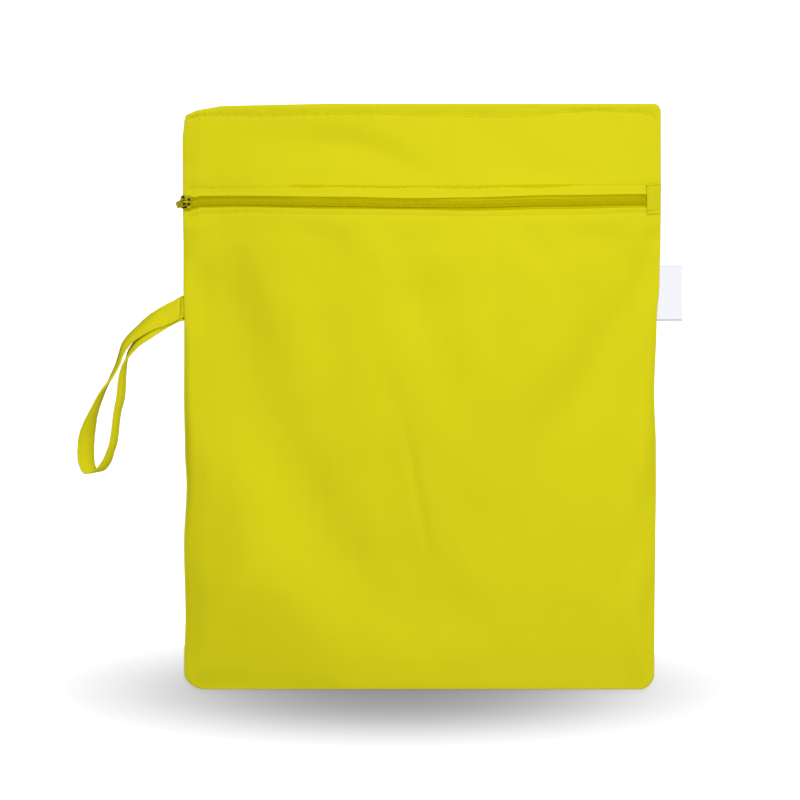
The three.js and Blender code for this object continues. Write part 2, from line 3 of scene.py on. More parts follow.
import bpy
import numpy as np
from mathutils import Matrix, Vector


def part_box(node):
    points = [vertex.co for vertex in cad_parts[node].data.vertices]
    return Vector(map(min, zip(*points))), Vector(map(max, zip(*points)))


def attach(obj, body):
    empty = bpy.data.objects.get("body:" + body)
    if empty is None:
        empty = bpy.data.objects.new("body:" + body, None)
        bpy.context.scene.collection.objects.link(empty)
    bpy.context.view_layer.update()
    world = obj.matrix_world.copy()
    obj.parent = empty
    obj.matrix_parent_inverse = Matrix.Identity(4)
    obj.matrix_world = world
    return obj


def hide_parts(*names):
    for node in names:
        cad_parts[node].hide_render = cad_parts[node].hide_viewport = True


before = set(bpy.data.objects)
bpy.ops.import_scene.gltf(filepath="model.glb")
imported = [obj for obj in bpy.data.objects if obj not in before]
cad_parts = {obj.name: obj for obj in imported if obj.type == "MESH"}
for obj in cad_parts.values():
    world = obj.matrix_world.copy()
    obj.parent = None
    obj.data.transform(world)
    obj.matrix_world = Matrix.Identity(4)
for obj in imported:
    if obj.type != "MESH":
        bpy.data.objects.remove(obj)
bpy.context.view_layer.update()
mm = 0.001

# Camera
# The bag is seen from straight above, as it lies on its back with its front up.
# One pixel of the 800 pixel picture is 0.68 mm at the seams.
PIXEL = 0.68 * mm
PICTURE = 800
BAG_MIDDLE = (421.5, 396.5)
CAMERA_HEIGHT = 5

camera_data = bpy.data.cameras.new("camera")
camera = bpy.data.objects.new("camera", camera_data)
bpy.context.scene.collection.objects.link(camera)
bpy.context.scene.camera = camera
camera.location = (
    (PICTURE / 2 - BAG_MIDDLE[0]) * PIXEL,
    (BAG_MIDDLE[1] - PICTURE / 2) * PIXEL,
    CAMERA_HEIGHT,
)
camera_data.sensor_width = 36
camera_data.lens = camera_data.sensor_width * CAMERA_HEIGHT / (PICTURE * PIXEL)

# Floor and light
# A white light table that lights only the picture's ground. A soft lamp stands beyond the bag's top edge, a
# second one hangs over it, and a pale world fills in. Below the bottom edge a soft grey oval of painted
# shadow is laid into the table's colour and glow.
TABLE_SIZE = 12
TABLE_DROP = 0.05 * mm
TABLE_WHITE = 0.35
TABLE_GLOW = 3.0
WORLD_STRENGTH = 0.448
KEY_TURN = 0.19
KEY_RISE = 0.675
KEY_AWAY = 3.50
KEY_SIZE = 0.9
KEY_POWER = 43.5
OVERHEAD_PLACE = (0.13, 0.12, 1.0)
OVERHEAD_SIZE = 0.3
OVERHEAD_POWER = 4.61
# Painted shadow on the table: middle and half sizes of its oval, and how it fades.
SHADOW_MIDDLE = (-18 * mm, -199.6 * mm)
SHADOW_HALF = (228 * mm, 39.4 * mm)
SHADOW_FALL = 1.6

# Tone of the table in its painted shadow: share of the shadow, grey.
SHADOW_TONES = (
    (0.0, 1.0),
    (0.004, 0.70),
    (0.06, 0.66),
    (0.333, 0.517),
    (0.583, 0.39),
    (0.787, 0.298),
    (1.0, 0.216),
)


def add_node(tree, kind, inputs=None, **settings):
    """A shader node with its settings. Each input gets a value or a link from another node's output."""
    made = tree.nodes.new(kind)
    for name, value in settings.items():
        setattr(made, name, value)
    for name, value in (inputs or {}).items():
        if isinstance(value, bpy.types.NodeSocket):
            tree.links.new(value, made.inputs[name])
        else:
            made.inputs[name].default_value = value
    return made


def new_material(name, coordinate="Object"):
    """An empty node material, its tree and the coordinate that its pattern is laid out by."""
    material = bpy.data.materials.new(name)
    material.use_nodes = True
    tree = material.node_tree
    tree.nodes.clear()
    return material, tree, add_node(tree, "ShaderNodeTexCoord").outputs[coordinate]


def mix_colours(tree, share, darker, lighter):
    """A colour between a darker and a lighter one by a share from 0 to 1."""
    inputs = {"Factor": share, "A": (*darker, 1), "B": (*lighter, 1)}
    return add_node(tree, "ShaderNodeMix", inputs, data_type="RGBA").outputs["Result"]


def sine_bands(tree, place, length, direction, distortion=0.0, detail=1.0):
    """Bands of a sine wave, one length apart and from 0 to 1, unevenly bent by the distortion."""
    inputs = {
        "Vector": place,
        "Scale": math.pi / 10 / length,
        "Distortion": distortion,
        "Detail": detail,
        "Detail Scale": 0.02,
    }
    return add_node(tree, "ShaderNodeTexWave", inputs, bands_direction=direction).outputs["Fac"]


def bumped(tree, height, strength, depth):
    """The normal of a surface that a value from 0 to 1 raises by a depth."""
    inputs = {"Height": height, "Strength": strength, "Distance": depth}
    return add_node(tree, "ShaderNodeBump", inputs).outputs["Normal"]


def cover(tree, inputs):
    """The surface shader with its inputs, led to the material's output."""
    shader = add_node(tree, "ShaderNodeBsdfPrincipled", inputs)
    add_node(tree, "ShaderNodeOutputMaterial", {"Surface": shader.outputs["BSDF"]})


def table_material():
    """White, with a painted shadow: an oval of grey in colour and glow, 1 − r² to the power SHADOW_FALL,
    where r is 1 on the oval's border.
    """
    material, tree, place = new_material("white_table")
    (across, up), (half_across, half_up) = SHADOW_MIDDLE, SHADOW_HALF
    inputs = {
        "Vector": place,
        "Location": (-across / half_across, -up / half_up, 0),
        "Scale": (1 / half_across, 1 / half_up, 0),
    }
    oval = add_node(tree, "ShaderNodeMapping", inputs).outputs["Vector"]
    square = add_node(tree, "ShaderNodeVectorMath", {0: oval, 1: oval}, operation="DOT_PRODUCT")
    inputs = {0: 1.0, 1: square.outputs["Value"]}
    left_over = add_node(tree, "ShaderNodeMath", inputs, operation="SUBTRACT", use_clamp=True)
    share = add_node(tree, "ShaderNodeMath", {0: left_over.outputs[0], 1: SHADOW_FALL}, operation="POWER")
    tones = add_node(tree, "ShaderNodeValToRGB", {"Fac": share.outputs[0]})
    ramp = tones.color_ramp
    for position, _ in SHADOW_TONES[1:-1]:
        ramp.elements.new(position)
    for element, (position, grey) in zip(ramp.elements, SHADOW_TONES):
        element.position = position
        element.color = (TABLE_WHITE * grey, TABLE_WHITE * grey, TABLE_WHITE * grey, 1)
    cover(tree, {
        "Base Color": tones.outputs["Color"],
        "Roughness": 0.9,
        "Emission Color": tones.outputs["Color"],
        "Emission Strength": TABLE_GLOW,
    })
    return material


table_mesh = bpy.data.meshes.new("table")
half = TABLE_SIZE / 2
table_mesh.from_pydata(
    [(x, y, -TABLE_DROP) for x, y in ((-half, -half), (half, -half), (half, half), (-half, half))],
    [],
    [(0, 1, 2, 3)],
)
table_mesh.materials.append(table_material())
table = bpy.data.objects.new("table", table_mesh)
bpy.context.scene.collection.objects.link(table)
table.visible_diffuse = False
table.visible_glossy = False

world = bpy.data.worlds.new("studio")
bpy.context.scene.world = world
world.use_nodes = True
world.node_tree.nodes["Background"].inputs["Color"].default_value = (1, 1, 1, 1)
world.node_tree.nodes["Background"].inputs["Strength"].default_value = WORLD_STRENGTH


def add_lamp(name, place, size, power):
    """A round soft lamp that isn't seen itself; it shines straight down until it is turned."""
    data = bpy.data.lights.new(name, "AREA")
    data.shape = "DISK"
    data.size = size
    data.energy = power
    lamp = bpy.data.objects.new(name, data)
    bpy.context.scene.collection.objects.link(lamp)
    lamp.location = place
    lamp.visible_camera = False
    return lamp


key_flat = KEY_AWAY * math.cos(KEY_RISE)
key_place = (key_flat * math.sin(KEY_TURN), key_flat * math.cos(KEY_TURN), KEY_AWAY * math.sin(KEY_RISE))
key = add_lamp("key", key_place, KEY_SIZE, KEY_POWER)
key.rotation_euler = (-key.location).to_track_quat("-Z", "Y").to_euler()
add_lamp("overhead", OVERHEAD_PLACE, OVERHEAD_SIZE, OVERHEAD_POWER)

bpy.context.scene.view_settings.view_transform = "Standard"

# Lower front panel
# The large front panel below the zip: one layer of laminated knit cloth, sewn to the back round its sides
# and bottom, its upper edge folded under along the zip. It swells a little and lies in soft folds.
back_low, back_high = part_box("back_panel")
WIDTH = back_high.x - back_low.x
HEIGHT = back_high.y - back_low.y
CLOTH = back_high.z - back_low.z
LEFT, RIGHT, TOP = back_low.x, back_high.x, back_high.y
GAP = 0.3 * mm
RIM = 2 * CLOTH + GAP
LOFT = 14 * mm
LEFT_SWELL = (100 * mm, 1.41)
RIGHT_SWELL = (90 * mm, 1.59)
TOP_SWELL = (96 * mm, 1.34)
BOTTOM_SWELL = (85 * mm, 1.93)
SEAM_CALM = 16 * mm
EDGE_WAVE = 5 * mm
FLARE = 16 * mm
STRAP_FLARE = 32 * mm
TOP_BAND = 7 * mm
BAND_THICK = 0.65 * mm
SEAM_EASE = 6 * mm
ZIP_Y = TOP - 67.4 * mm
ZIP_GAP = 8 * mm
ZIP_WAVE = 1.2 * mm
ZIP_CALM = 14 * mm
FOLD_FADE = 16 * mm
COIL_WIDTH = 5 * mm
LIPS_PART = 4.6 * mm
LIPS_CLOSE = 2.4 * mm
TAPE_THICK = 0.6 * mm
PLATE_THICK = 0.9 * mm
SLIDER_LONG = 7.6 * mm
slider_low, slider_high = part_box("zipper_slider")
SLIDER_WIDE = slider_high.y - slider_low.y
STRAP_Y = TOP - 139.2 * mm
STRAP_WIDTH = 15 * mm
STRAP_THICK = 1.2 * mm
label_low, label_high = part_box("side_label")
LABEL_Y = (label_low.y + label_high.y) / 2
LABEL_HIGH = label_high.y - label_low.y
LABEL_THICK = 0.66 * mm

# Side seams from the bottom up: share of the height, then how far the left and the right side draw in, as
# shares of EDGE_WAVE.
SIDES = np.array([
    (0.0, 0.2, 0.79),
    (0.05, 0.18, 0.79),
    (0.12, 0.37, 0.76),
    (0.25, 0.16, 0.64),
    (0.35, 0.51, 0.55),
    (0.41, 0.28, 0.56),
    (0.5, 0.16, 0.79),
    (0.63, 0.2, 0.47),
    (0.69, 0.09, 0.12),
    (0.76, 0.08, -0.06),
    (0.84, 0.0, -0.12),
    (0.945, -0.04, -0.11),
    (0.985, 0.16, -0.11),
    (1.0, 0.36, -0.11),
])

# Corners as quarter ellipses: share of the width, share of the height.
TOP_RIGHT = (0.017, 0.015)
BOTTOM_LEFT, BOTTOM_RIGHT = (0.05, 0.03), (0.036, 0.027)

# Fall of the top edge to its cut left corner: place as a share of the width from the middle, drop in mm.
TOP_EDGE = np.array([(-0.5, 8.6), (-0.469, 4.4), (-0.42, 1.5), (-0.32, 0.8), (-0.2, 0.0), (0.5, 0.0)])

# Course of the zip: place along it as a share of the width, rise as a share of ZIP_WAVE, gap as a share of
# ZIP_GAP.
ZIP_COURSE = np.array([
    (-0.478, -0.5, 1.02),
    (-0.46, 0.4, 0.96),
    (-0.4, 0.6, 0.93),
    (-0.17, -0.3, 0.98),
    (-0.02, -0.9, 0.92),
    (0.09, -1.05, 1.09),
    (0.28, 0.1, 1.15),
    (0.46, 1.0, 1.08),
])

# Folds, each a bent line through three points: x0, y0, x1, y1, x2, y2 as shares of the width from the
# middle and of the height from the bottom, depth as a share of LOFT (below zero for a ridge), breadth as a
# share of the width.
FOLDS = np.array([
    (-0.411, 0.733, -0.408, 0.672, -0.101, 0.018, 0.355, 0.074),
    (-0.712, 0.653, -0.307, 0.194, -0.589, 0.248, -0.225, 0.082),
    (-0.244, 0.805, -0.199, 0.616, -0.200, 0.402, 0.267, 0.054),
    (-0.084, 0.404, -0.115, 0.156, 0.179, 0.162, 0.348, 0.110),
    (0.449, 0.679, 0.385, 0.601, 0.263, 0.408, 0.352, 0.054),
    (0.620, 0.895, 0.466, 0.359, 0.468, 0.013, -0.294, 0.034),
    (0.404, 0.155, 0.458, 0.277, 0.446, 0.361, 0.280, 0.032),
    (-0.456, 0.989, -0.469, 0.721, -0.370, 0.898, -0.245, 0.044),
    (-0.044, 0.689, 0.091, 0.655, -0.009, 0.626, 0.123, 0.042),
    (0.003, 0.733, 0.107, 0.626, 0.129, 0.452, -0.190, 0.051),
    (0.246, 0.795, 0.239, 0.744, 0.293, 0.738, 0.163, 0.027),
    (-0.597, 0.562, -0.395, 0.123, -0.556, 0.127, -0.197, 0.085),
    (-0.263, 0.479, -0.153, 0.219, 0.075, 0.071, 0.359, 0.089),
    (-0.438, 0.717, -0.270, 0.576, -0.171, 0.218, -0.010, 0.043),
    (0.106, 0.629, 0.280, 0.169, -0.016, 0.398, 0.360, 0.109),
    (0.369, 0.486, 0.071, 0.157, 0.472, 0.108, 0.356, 0.107),
    (-0.053, 0.502, -0.032, 0.248, 0.020, 0.164, 0.359, 0.066),
    (-0.026, 0.668, -0.008, 0.666, 0.056, 0.492, 0.143, 0.038),
    (0.073, 0.775, -0.027, 0.736, 0.115, 0.681, 0.129, 0.039),
    (-0.071, 0.793, -0.047, 0.732, -0.054, 0.689, 0.079, 0.026),
    (-0.106, 0.692, -0.190, 0.763, -0.134, 0.633, 0.123, 0.034),
    (-0.162, 0.718, -0.059, 0.490, -0.085, 0.549, 0.041, 0.023),
    (-0.365, 0.742, -0.309, 0.667, -0.311, 0.608, -0.051, 0.030),
    (-0.394, 0.386, -0.350, 0.241, -0.544, -0.031, -0.182, 0.052),
    (0.565, 0.845, 0.511, 0.747, 0.454, 0.682, 0.342, 0.042),
    (0.270, 0.760, 0.414, 0.750, 0.323, 0.663, 0.195, 0.044),
    (-0.514, 0.747, -0.497, 0.482, -0.490, 0.264, -0.292, 0.018),
    (0.290, 0.752, 0.403, 0.645, 0.150, 0.499, -0.149, 0.087),
    (-0.322, 0.931, -0.153, 0.927, 0.048, 0.850, 0.145, 0.034),
    (-0.415, 0.923, -0.404, 0.901, -0.339, 0.861, 0.048, 0.029),
    (-0.400, 0.912, -0.300, 0.925, -0.179, 0.881, 0.131, 0.052),
    (0.098, 0.962, 0.181, 0.929, 0.255, 0.867, 0.107, 0.042),
    (0.324, 1.021, 0.430, 0.924, 0.494, 0.901, 0.005, 0.019),
    (-0.266, 0.904, -0.149, 0.929, 0.020, 0.876, 0.142, 0.036),
    (0.138, 0.901, 0.217, 0.873, 0.408, 0.850, 0.143, 0.046),
    (-0.044, 0.487, -0.012, 0.345, 0.018, 0.215, 0.08, 0.012),
])
FOLD_STEPS = 48


def bell(distance, half):
    """exp(−(distance / half)²): 1 in the middle, about a third at the half width."""
    return np.exp(-((distance / half) ** 2))


def ease(t):
    """3t² − 2t³ with t held between 0 and 1: goes from 0 to 1 without a corner."""
    t = np.clip(t, 0, 1)
    return t * t * (3 - 2 * t)


def read(table, column, place):
    """A column of a table at a place in its first column, eased from each row to the next."""
    row = np.clip(np.searchsorted(table[:, 0], place, side="right") - 1, 0, len(table) - 2)
    t = ease((place - table[row, 0]) / (table[row + 1, 0] - table[row, 0]))
    return table[row, column] + t * (table[row + 1, column] - table[row, column])


def bulge(distance, half, flare=FLARE):
    """1 up to half a width from the middle, then eased down to 0 over the flare."""
    return 1 - ease((np.abs(distance) - half) / flare)


def corner_inset(corner, from_end):
    """How far a quarter ellipse draws a side in: wide × (1 − √(1 − t²)), t rising to 1 at the end."""
    wide, tall = corner
    t = np.clip(1 - from_end / (tall * HEIGHT), 0, 1)
    return wide * WIDTH * (1 - np.sqrt(1 - t * t))


def side_edges(y):
    """Left and right edge of the pouch: the table of sides plus the corners' insets."""
    up = y / HEIGHT + 0.5
    left = EDGE_WAVE * read(SIDES, 1, up) + corner_inset(BOTTOM_LEFT, TOP + y)
    right = EDGE_WAVE * read(SIDES, 2, up) + corner_inset(TOP_RIGHT, TOP - y)
    right += corner_inset(BOTTOM_RIGHT, TOP + y)
    return LEFT + left, RIGHT - right


def top_fall(x, y):
    """How far the top edge falls towards its left corner; it runs out halfway down to the zip."""
    near = ease(1 - (TOP - y) / ((TOP - ZIP_Y) / 2))
    return mm * np.interp(x / WIDTH, TOP_EDGE[:, 0], TOP_EDGE[:, 1]) * near


def zip_middle(x):
    """Height up the bag of the zip's middle line."""
    return ZIP_Y + ZIP_WAVE * read(ZIP_COURSE, 1, x / WIDTH)


def lip_half_gap(x):
    """Half the gap between the lips: wide round the slider, else the table's gap, clear of the coil."""
    course = np.maximum(ZIP_GAP / 2 * read(ZIP_COURSE, 2, x / WIDTH), COIL_WIDTH / 2 + 2 * GAP)
    round_slider = SLIDER_WIDE / 2 + GAP
    past = ease((x - (LEFT + LIPS_PART)) / LIPS_CLOSE)
    return round_slider + past * (course - round_slider)


def rim_raise(y, from_left, from_right):
    """Lift of the side seams where slider, tape, strap or label pass through, eased out over FLARE."""
    beside_zip = bulge(y - ZIP_Y, ZIP_CALM)
    left = np.maximum(
        (PLATE_THICK + TAPE_THICK + 2 * GAP) * beside_zip,
        2 * (STRAP_THICK + GAP) * bulge(y - STRAP_Y, STRAP_WIDTH / 2, STRAP_FLARE),
    )
    right = np.maximum(
        (GAP + TAPE_THICK) * beside_zip,
        (LABEL_THICK + GAP) * bulge(y - LABEL_Y, LABEL_HIGH / 2 + SEAM_EASE),
    )
    return left * (1 - ease(from_left / FLARE)) + right * (1 - ease(from_right / FLARE))


def swell(distance, reach, power):
    """Share of the loft at a distance from a seam: 1 − (1 − distance / reach) to the power."""
    return 1 - (1 - np.clip(distance / reach, 0, 1)) ** power


def pressed(x, y, row):
    """A fold at points: the sum over short steps of its bent line of end taper × exp(−distance² /
    breadth²), divided by what a long straight line of steps adds up to, so its floor lies at its depth."""
    x0, y0, x1, y1, x2, y2, depth, breadth = row
    breadth = breadth * WIDTH
    start, middle, end = (
        np.array((px * WIDTH, (py - 0.5) * HEIGHT)) for px, py in ((x0, y0), (x1, y1), (x2, y2))
    )
    control = 2 * middle - (start + end) / 2
    t = (np.arange(FOLD_STEPS) + 0.5) / FOLD_STEPS
    line = np.outer((1 - t) ** 2, start) + np.outer(2 * t * (1 - t), control) + np.outer(t**2, end)
    step = np.linalg.norm(np.gradient(line, axis=0), axis=1)
    weight = np.sin(np.pi * t) ** 0.5 * step / (breadth * math.sqrt(math.pi))
    total = np.zeros_like(x)
    for (px, py), share in zip(line, weight):
        total += share * np.exp(-((x - px) ** 2 + (y - py) ** 2) / breadth**2)
    return depth * total


def fold_depth(x, y):
    """Depth of all folds as a share of LOFT, run out beside the zip and towards the seams."""
    left, right = side_edges(y)
    calm = ease((np.abs(y - ZIP_Y) - ZIP_CALM / 2) / FOLD_FADE)
    for distance in (x - left, right - x, TOP - y, TOP + y):
        calm = calm * swell(distance, SEAM_CALM, 2)
    return calm * sum(pressed(x, y, row) for row in FOLDS)


def front_height(x, y):
    """Height of the outer face of the front: rim + raised rim + loft × (swell from all seams − folds)."""
    left, right = side_edges(y)
    beside_zip = bulge(y - ZIP_Y, ZIP_CALM)
    level = (SLIDER_LONG + GAP) * beside_zip
    past_level = x - left - level
    soft = 4 * mm * beside_zip
    from_left = np.maximum(0, (past_level + np.sqrt(past_level**2 + soft**2)) / 2)
    from_right = np.maximum(0, right - x)
    across = swell(from_left, *LEFT_SWELL) * swell(from_right, *RIGHT_SWELL)
    upward = swell(TOP - TOP_BAND - y, *TOP_SWELL) * swell(TOP + y, *BOTTOM_SWELL)
    raised = rim_raise(y, past_level, from_right)
    return RIM + raised + LOFT * (across * upward - fold_depth(x, y))


def stations(count, crowding=0.55):
    """Shares from 0 to 1: even ones blended with cosine ones, which crowd towards both ends."""
    even = np.linspace(0, 1, count + 1)
    return (1 - crowding) * even + crowding * (0.5 - 0.5 * np.cos(np.pi * even))


def ripple(place, wave, seed):
    """An uneven ripple of about one wave length: the mean of five sines of near lengths and random phase."""
    chance = np.random.default_rng(seed)
    lengths = wave * chance.uniform(0.6, 1.7, 5)
    phases = chance.uniform(0, 2 * np.pi, 5)
    return sum(np.sin(2 * np.pi * place / a + b) for a, b in zip(lengths, phases)) / 5


ROW_ABOVE = 11.4 * mm
ROW_RISE = 0.0068
ROW_BELOW_LIP = 3.5 * mm
UPPER_ROW = (0.2 * mm, 1.1 * mm, 0.22 * mm)
LOWER_ROW = (0.48 * mm, 1.2 * mm, 0.22 * mm)
TOP_ROW = (0.32 * mm, 1.5 * mm, 0.35 * mm)
PUCKER_WAVE = 6 * mm
PUCKER_REACH = 5 * mm
PUCKER_LEAN = 0.4
STITCH = 2.6 * mm
STITCH_DIMPLE = 0.03 * mm
STITCH_HALF = 1.3 * mm
LEFT_DIMPLE = 0.24 * mm
LEFT_REACH = 22 * mm
LIP_RIDGE = 0.25 * mm
LIP_RIDGE_HALF = 0.9 * mm
EDGE_ROLL = 0.35 * mm
EDGE_ROLL_WIDE = 4.5 * mm
EDGE_RIDGE = 0.12 * mm
EDGE_RIDGE_AT = 2.6 * mm
EDGE_RIDGE_HALF = 1.4 * mm
BAND_ROUND = 1.6 * mm
BAND_FULL = 2 * mm

# Row of stitches under the top edge: place across as a share of the width, distance below the edge in mm.
TOP_SEAM = np.array([
    (-0.49, 3.6),
    (-0.464, 4.2),
    (-0.433, 5.9),
    (-0.4, 7.0),
    (-0.334, 7.6),
    (-0.108, 7.0),
    (0.018, 8.0),
    (0.165, 9.0),
    (0.227, 8.6),
    (0.311, 5.6),
    (0.374, 4.8),
    (0.437, 5.6),
    (0.479, 7.3),
    (0.494, 10.3),
])

# Small creases in the band at the top edge: place across as a share of the width, distance below the edge,
# half length, half height and depth in mm.
TOP_DENTS = (
    (-0.433, 0.9, 5.0, 0.8, 0.6),
    (-0.19, 1.3, 6.0, 0.8, 0.5),
    (0.227, 2.8, 6.0, 0.9, 0.4),
)


def upper_row(x):
    """Height up the bag of the straight row of stitches above the zip."""
    return ZIP_Y + ROW_ABOVE + ROW_RISE * x


def lower_row(x):
    """Height up the bag of the row of stitches that follows the lower lip."""
    return zip_middle(x) - lip_half_gap(x) - ROW_BELOW_LIP


def top_row(x):
    """Height up the bag of the row of stitches under the top edge, which wavers along the table."""
    return TOP - mm * read(TOP_SEAM, 1, x / WIDTH)


def row_relief(x, y, row, size, seed):
    """A row of stitches pulls the cloth in: a groove exp(−d²/half²) that deepens and fades along the row,
    puckers across it, and a dimple a stitch; the dimples are deep near the left end of the row."""
    groove, half, pucker = size
    d = y - row
    near_left = np.exp(-(x - LEFT) / LEFT_REACH)
    strength = (1 + 0.8 * ripple(x, 45 * mm, seed + 20)) * (0.85 + 0.5 * near_left)
    valley = -groove * bell(d, half)
    gathers = pucker * ripple(x + PUCKER_LEAN * d, PUCKER_WAVE, seed) * bell(d, PUCKER_REACH)
    dimple = STITCH_DIMPLE + LEFT_DIMPLE * near_left
    dimples = -dimple * np.cos(2 * np.pi * (x + d) / STITCH) * bell(d, STITCH_HALF)
    return strength * (valley + gathers) + dimples


def lip_relief(x, y):
    """A low ridge along the folded edge of each lip of the zip."""
    past_lip = np.abs(y - zip_middle(x)) - lip_half_gap(x)
    return LIP_RIDGE * bell(past_lip - LIP_RIDGE_HALF, LIP_RIDGE_HALF)


def seam_relief(x, y):
    """The front rolls down to the side seams as 1 − (1 − d / wide)² and has a low puckered ridge there."""
    left, right = side_edges(y)
    inner = np.clip(np.minimum(x - left, right - x), 0, None)
    roll = 1 - (1 - np.clip(inner / EDGE_ROLL_WIDE, 0, 1)) ** 2
    ridge = bell(inner - EDGE_RIDGE_AT, EDGE_RIDGE_HALF) * (1 + 0.8 * ripple(y, 9 * mm, 11))
    return EDGE_ROLL * roll + EDGE_RIDGE * ridge


def band_relief(x, y):
    """The seam allowance behind the top edge: a band that thins to the row, less its small creases."""
    below = TOP - y
    rounded = 1 - (1 - np.clip(below / BAND_ROUND, 0, 1)) ** 2
    thins = 1 - ease((below - BAND_FULL) / (TOP - top_row(x) - BAND_FULL))
    uneven = 1 + 0.7 * ripple(x, 30 * mm, 31)
    dents = sum(
        deep * np.exp(-(((x / WIDTH - place) * WIDTH / mm / long) ** 2) - ((below / mm - down) / high) ** 2)
        for place, down, long, high, deep in TOP_DENTS
    )
    return BAND_THICK * rounded * thins * uneven - dents * mm


def crumple(x, y):
    """Slight unevenness of soft cloth: twenty crossing sines of random direction and length."""
    chance = np.random.default_rng(7)
    total = np.zeros_like(x)
    for length, turn, phase in zip(
        chance.uniform(18, 60, 20) * mm, chance.uniform(0, np.pi, 20), chance.uniform(0, 2 * np.pi, 20)
    ):
        total += length * np.sin(2 * np.pi * (x * np.cos(turn) + y * np.sin(turn)) / length + phase)
    return 0.0009 * total


def dressed_height(x, y):
    """The outer face with its fine relief: rows of stitches, lips, seams and slight unevenness."""
    fine = row_relief(x, y, upper_row(x), UPPER_ROW, 1)
    fine += row_relief(x, y, lower_row(x), LOWER_ROW, 2)
    fine += row_relief(x, y, top_row(x), TOP_ROW, 3)
    fine += lip_relief(x, y) + band_relief(x, y)
    left, right = side_edges(y)
    inside = ease(np.minimum(x - left, right - x) / SEAM_EASE)
    return front_height(x, y) + fine * inside + seam_relief(x, y) + crumple(x, y) * inside


def closed_sheet(outer, inner, rim_steps=5):
    """Points and faces of cloth with two faces on one grid. Its rim is half a circle round the border loop:
    middle + cos(a) × half thickness + sin(a) × outward × half thickness, where outward is the loop's
    direction crossed with the line from inner to outer face."""
    rows, columns = outer.shape[:2]
    count = rows * columns
    index = np.arange(count).reshape(rows, columns)
    loop = np.concatenate((index[0, :-1], index[:-1, -1], index[-1, :0:-1], index[:0:-1, 0]))
    flat_outer, flat_inner = outer.reshape(-1, 3), inner.reshape(-1, 3)
    middle = (flat_outer[loop] + flat_inner[loop]) / 2
    half = (flat_outer[loop] - flat_inner[loop]) / 2
    thick = np.linalg.norm(half, axis=1, keepdims=True)
    outward = np.cross(np.roll(middle, -1, axis=0) - np.roll(middle, 1, axis=0), half)
    outward /= np.maximum(np.linalg.norm(outward, axis=1, keepdims=True), 1e-12)
    angles = np.linspace(0, np.pi, rim_steps + 2)[1:-1, None, None]
    rim = middle + np.cos(angles) * half + np.sin(angles) * outward * thick
    points = np.concatenate((flat_outer, flat_inner, rim.reshape(-1, 3)))
    top = np.stack((index[:-1, :-1], index[:-1, 1:], index[1:, 1:], index[1:, :-1]), axis=-1).reshape(-1, 4)
    rings = [2 * count + k * len(loop) + np.arange(len(loop)) for k in range(rim_steps)]
    rings = [loop, *rings, loop + count]
    faces = [top, top[:, ::-1] + count]
    for a, b in zip(rings[:-1], rings[1:]):
        faces.append(np.stack((a, b, np.roll(b, -1), np.roll(a, -1)), axis=-1))
    return points, np.concatenate(faces)


def make_piece(name, points, faces, material, uv=None):
    """A smooth mesh object at the origin from arrays of points and faces, with one uv pair a point."""
    mesh = bpy.data.meshes.new(name)
    mesh.from_pydata(points.tolist(), [], faces if isinstance(faces, list) else faces.tolist())
    mesh.polygons.foreach_set("use_smooth", np.ones(len(mesh.polygons), dtype=bool))
    mesh.materials.append(material)
    if uv is not None:
        corners = np.empty(len(mesh.loops), dtype=np.int32)
        mesh.loops.foreach_get("vertex_index", corners)
        mesh.uv_layers.new(name="along_cloth").data.foreach_set("uv", uv[corners].ravel())
    mesh.update()
    made = bpy.data.objects.new(name, mesh)
    bpy.context.scene.collection.objects.link(made)
    return made


def front_grid(from_y, to_y, across, upward):
    """Points of the front's outer face: columns follow the sides, rows run between two heights of the bag,
    set in by half the cloth's thickness so that the rounded rim ends on the outline."""
    u, v = np.meshgrid(across, upward)
    level = from_y(np.zeros_like(u)) + v * (to_y(np.zeros_like(u)) - from_y(np.zeros_like(u)))
    left, right = side_edges(level)
    x = left + CLOTH / 2 + u * (right - left - CLOTH)
    y = from_y(x) + v * (to_y(x) - from_y(x))
    return np.stack((x, y - top_fall(x, y), dressed_height(x, y)), axis=-1)


def bottom_edge(x):
    """Height up the bag of the lower panel's bottom row."""
    return np.full_like(x, -TOP + CLOTH / 2)


def lower_lip(x):
    """Height up the bag of the lower lip of the zip."""
    return zip_middle(x) - lip_half_gap(x) - CLOTH / 2


CLOTH_COLOUR = (0.622, 0.581, 0.0103)
CLOTH_DARKER = (0.608, 0.566, 0.0092)
WALE = 0.75 * mm
COURSE = 0.6 * mm
STREAK_WIDE = 2.6 * mm
STREAK_LONG = 160 * mm
GLINT = (1.0, 0.93, 0.1, 1)


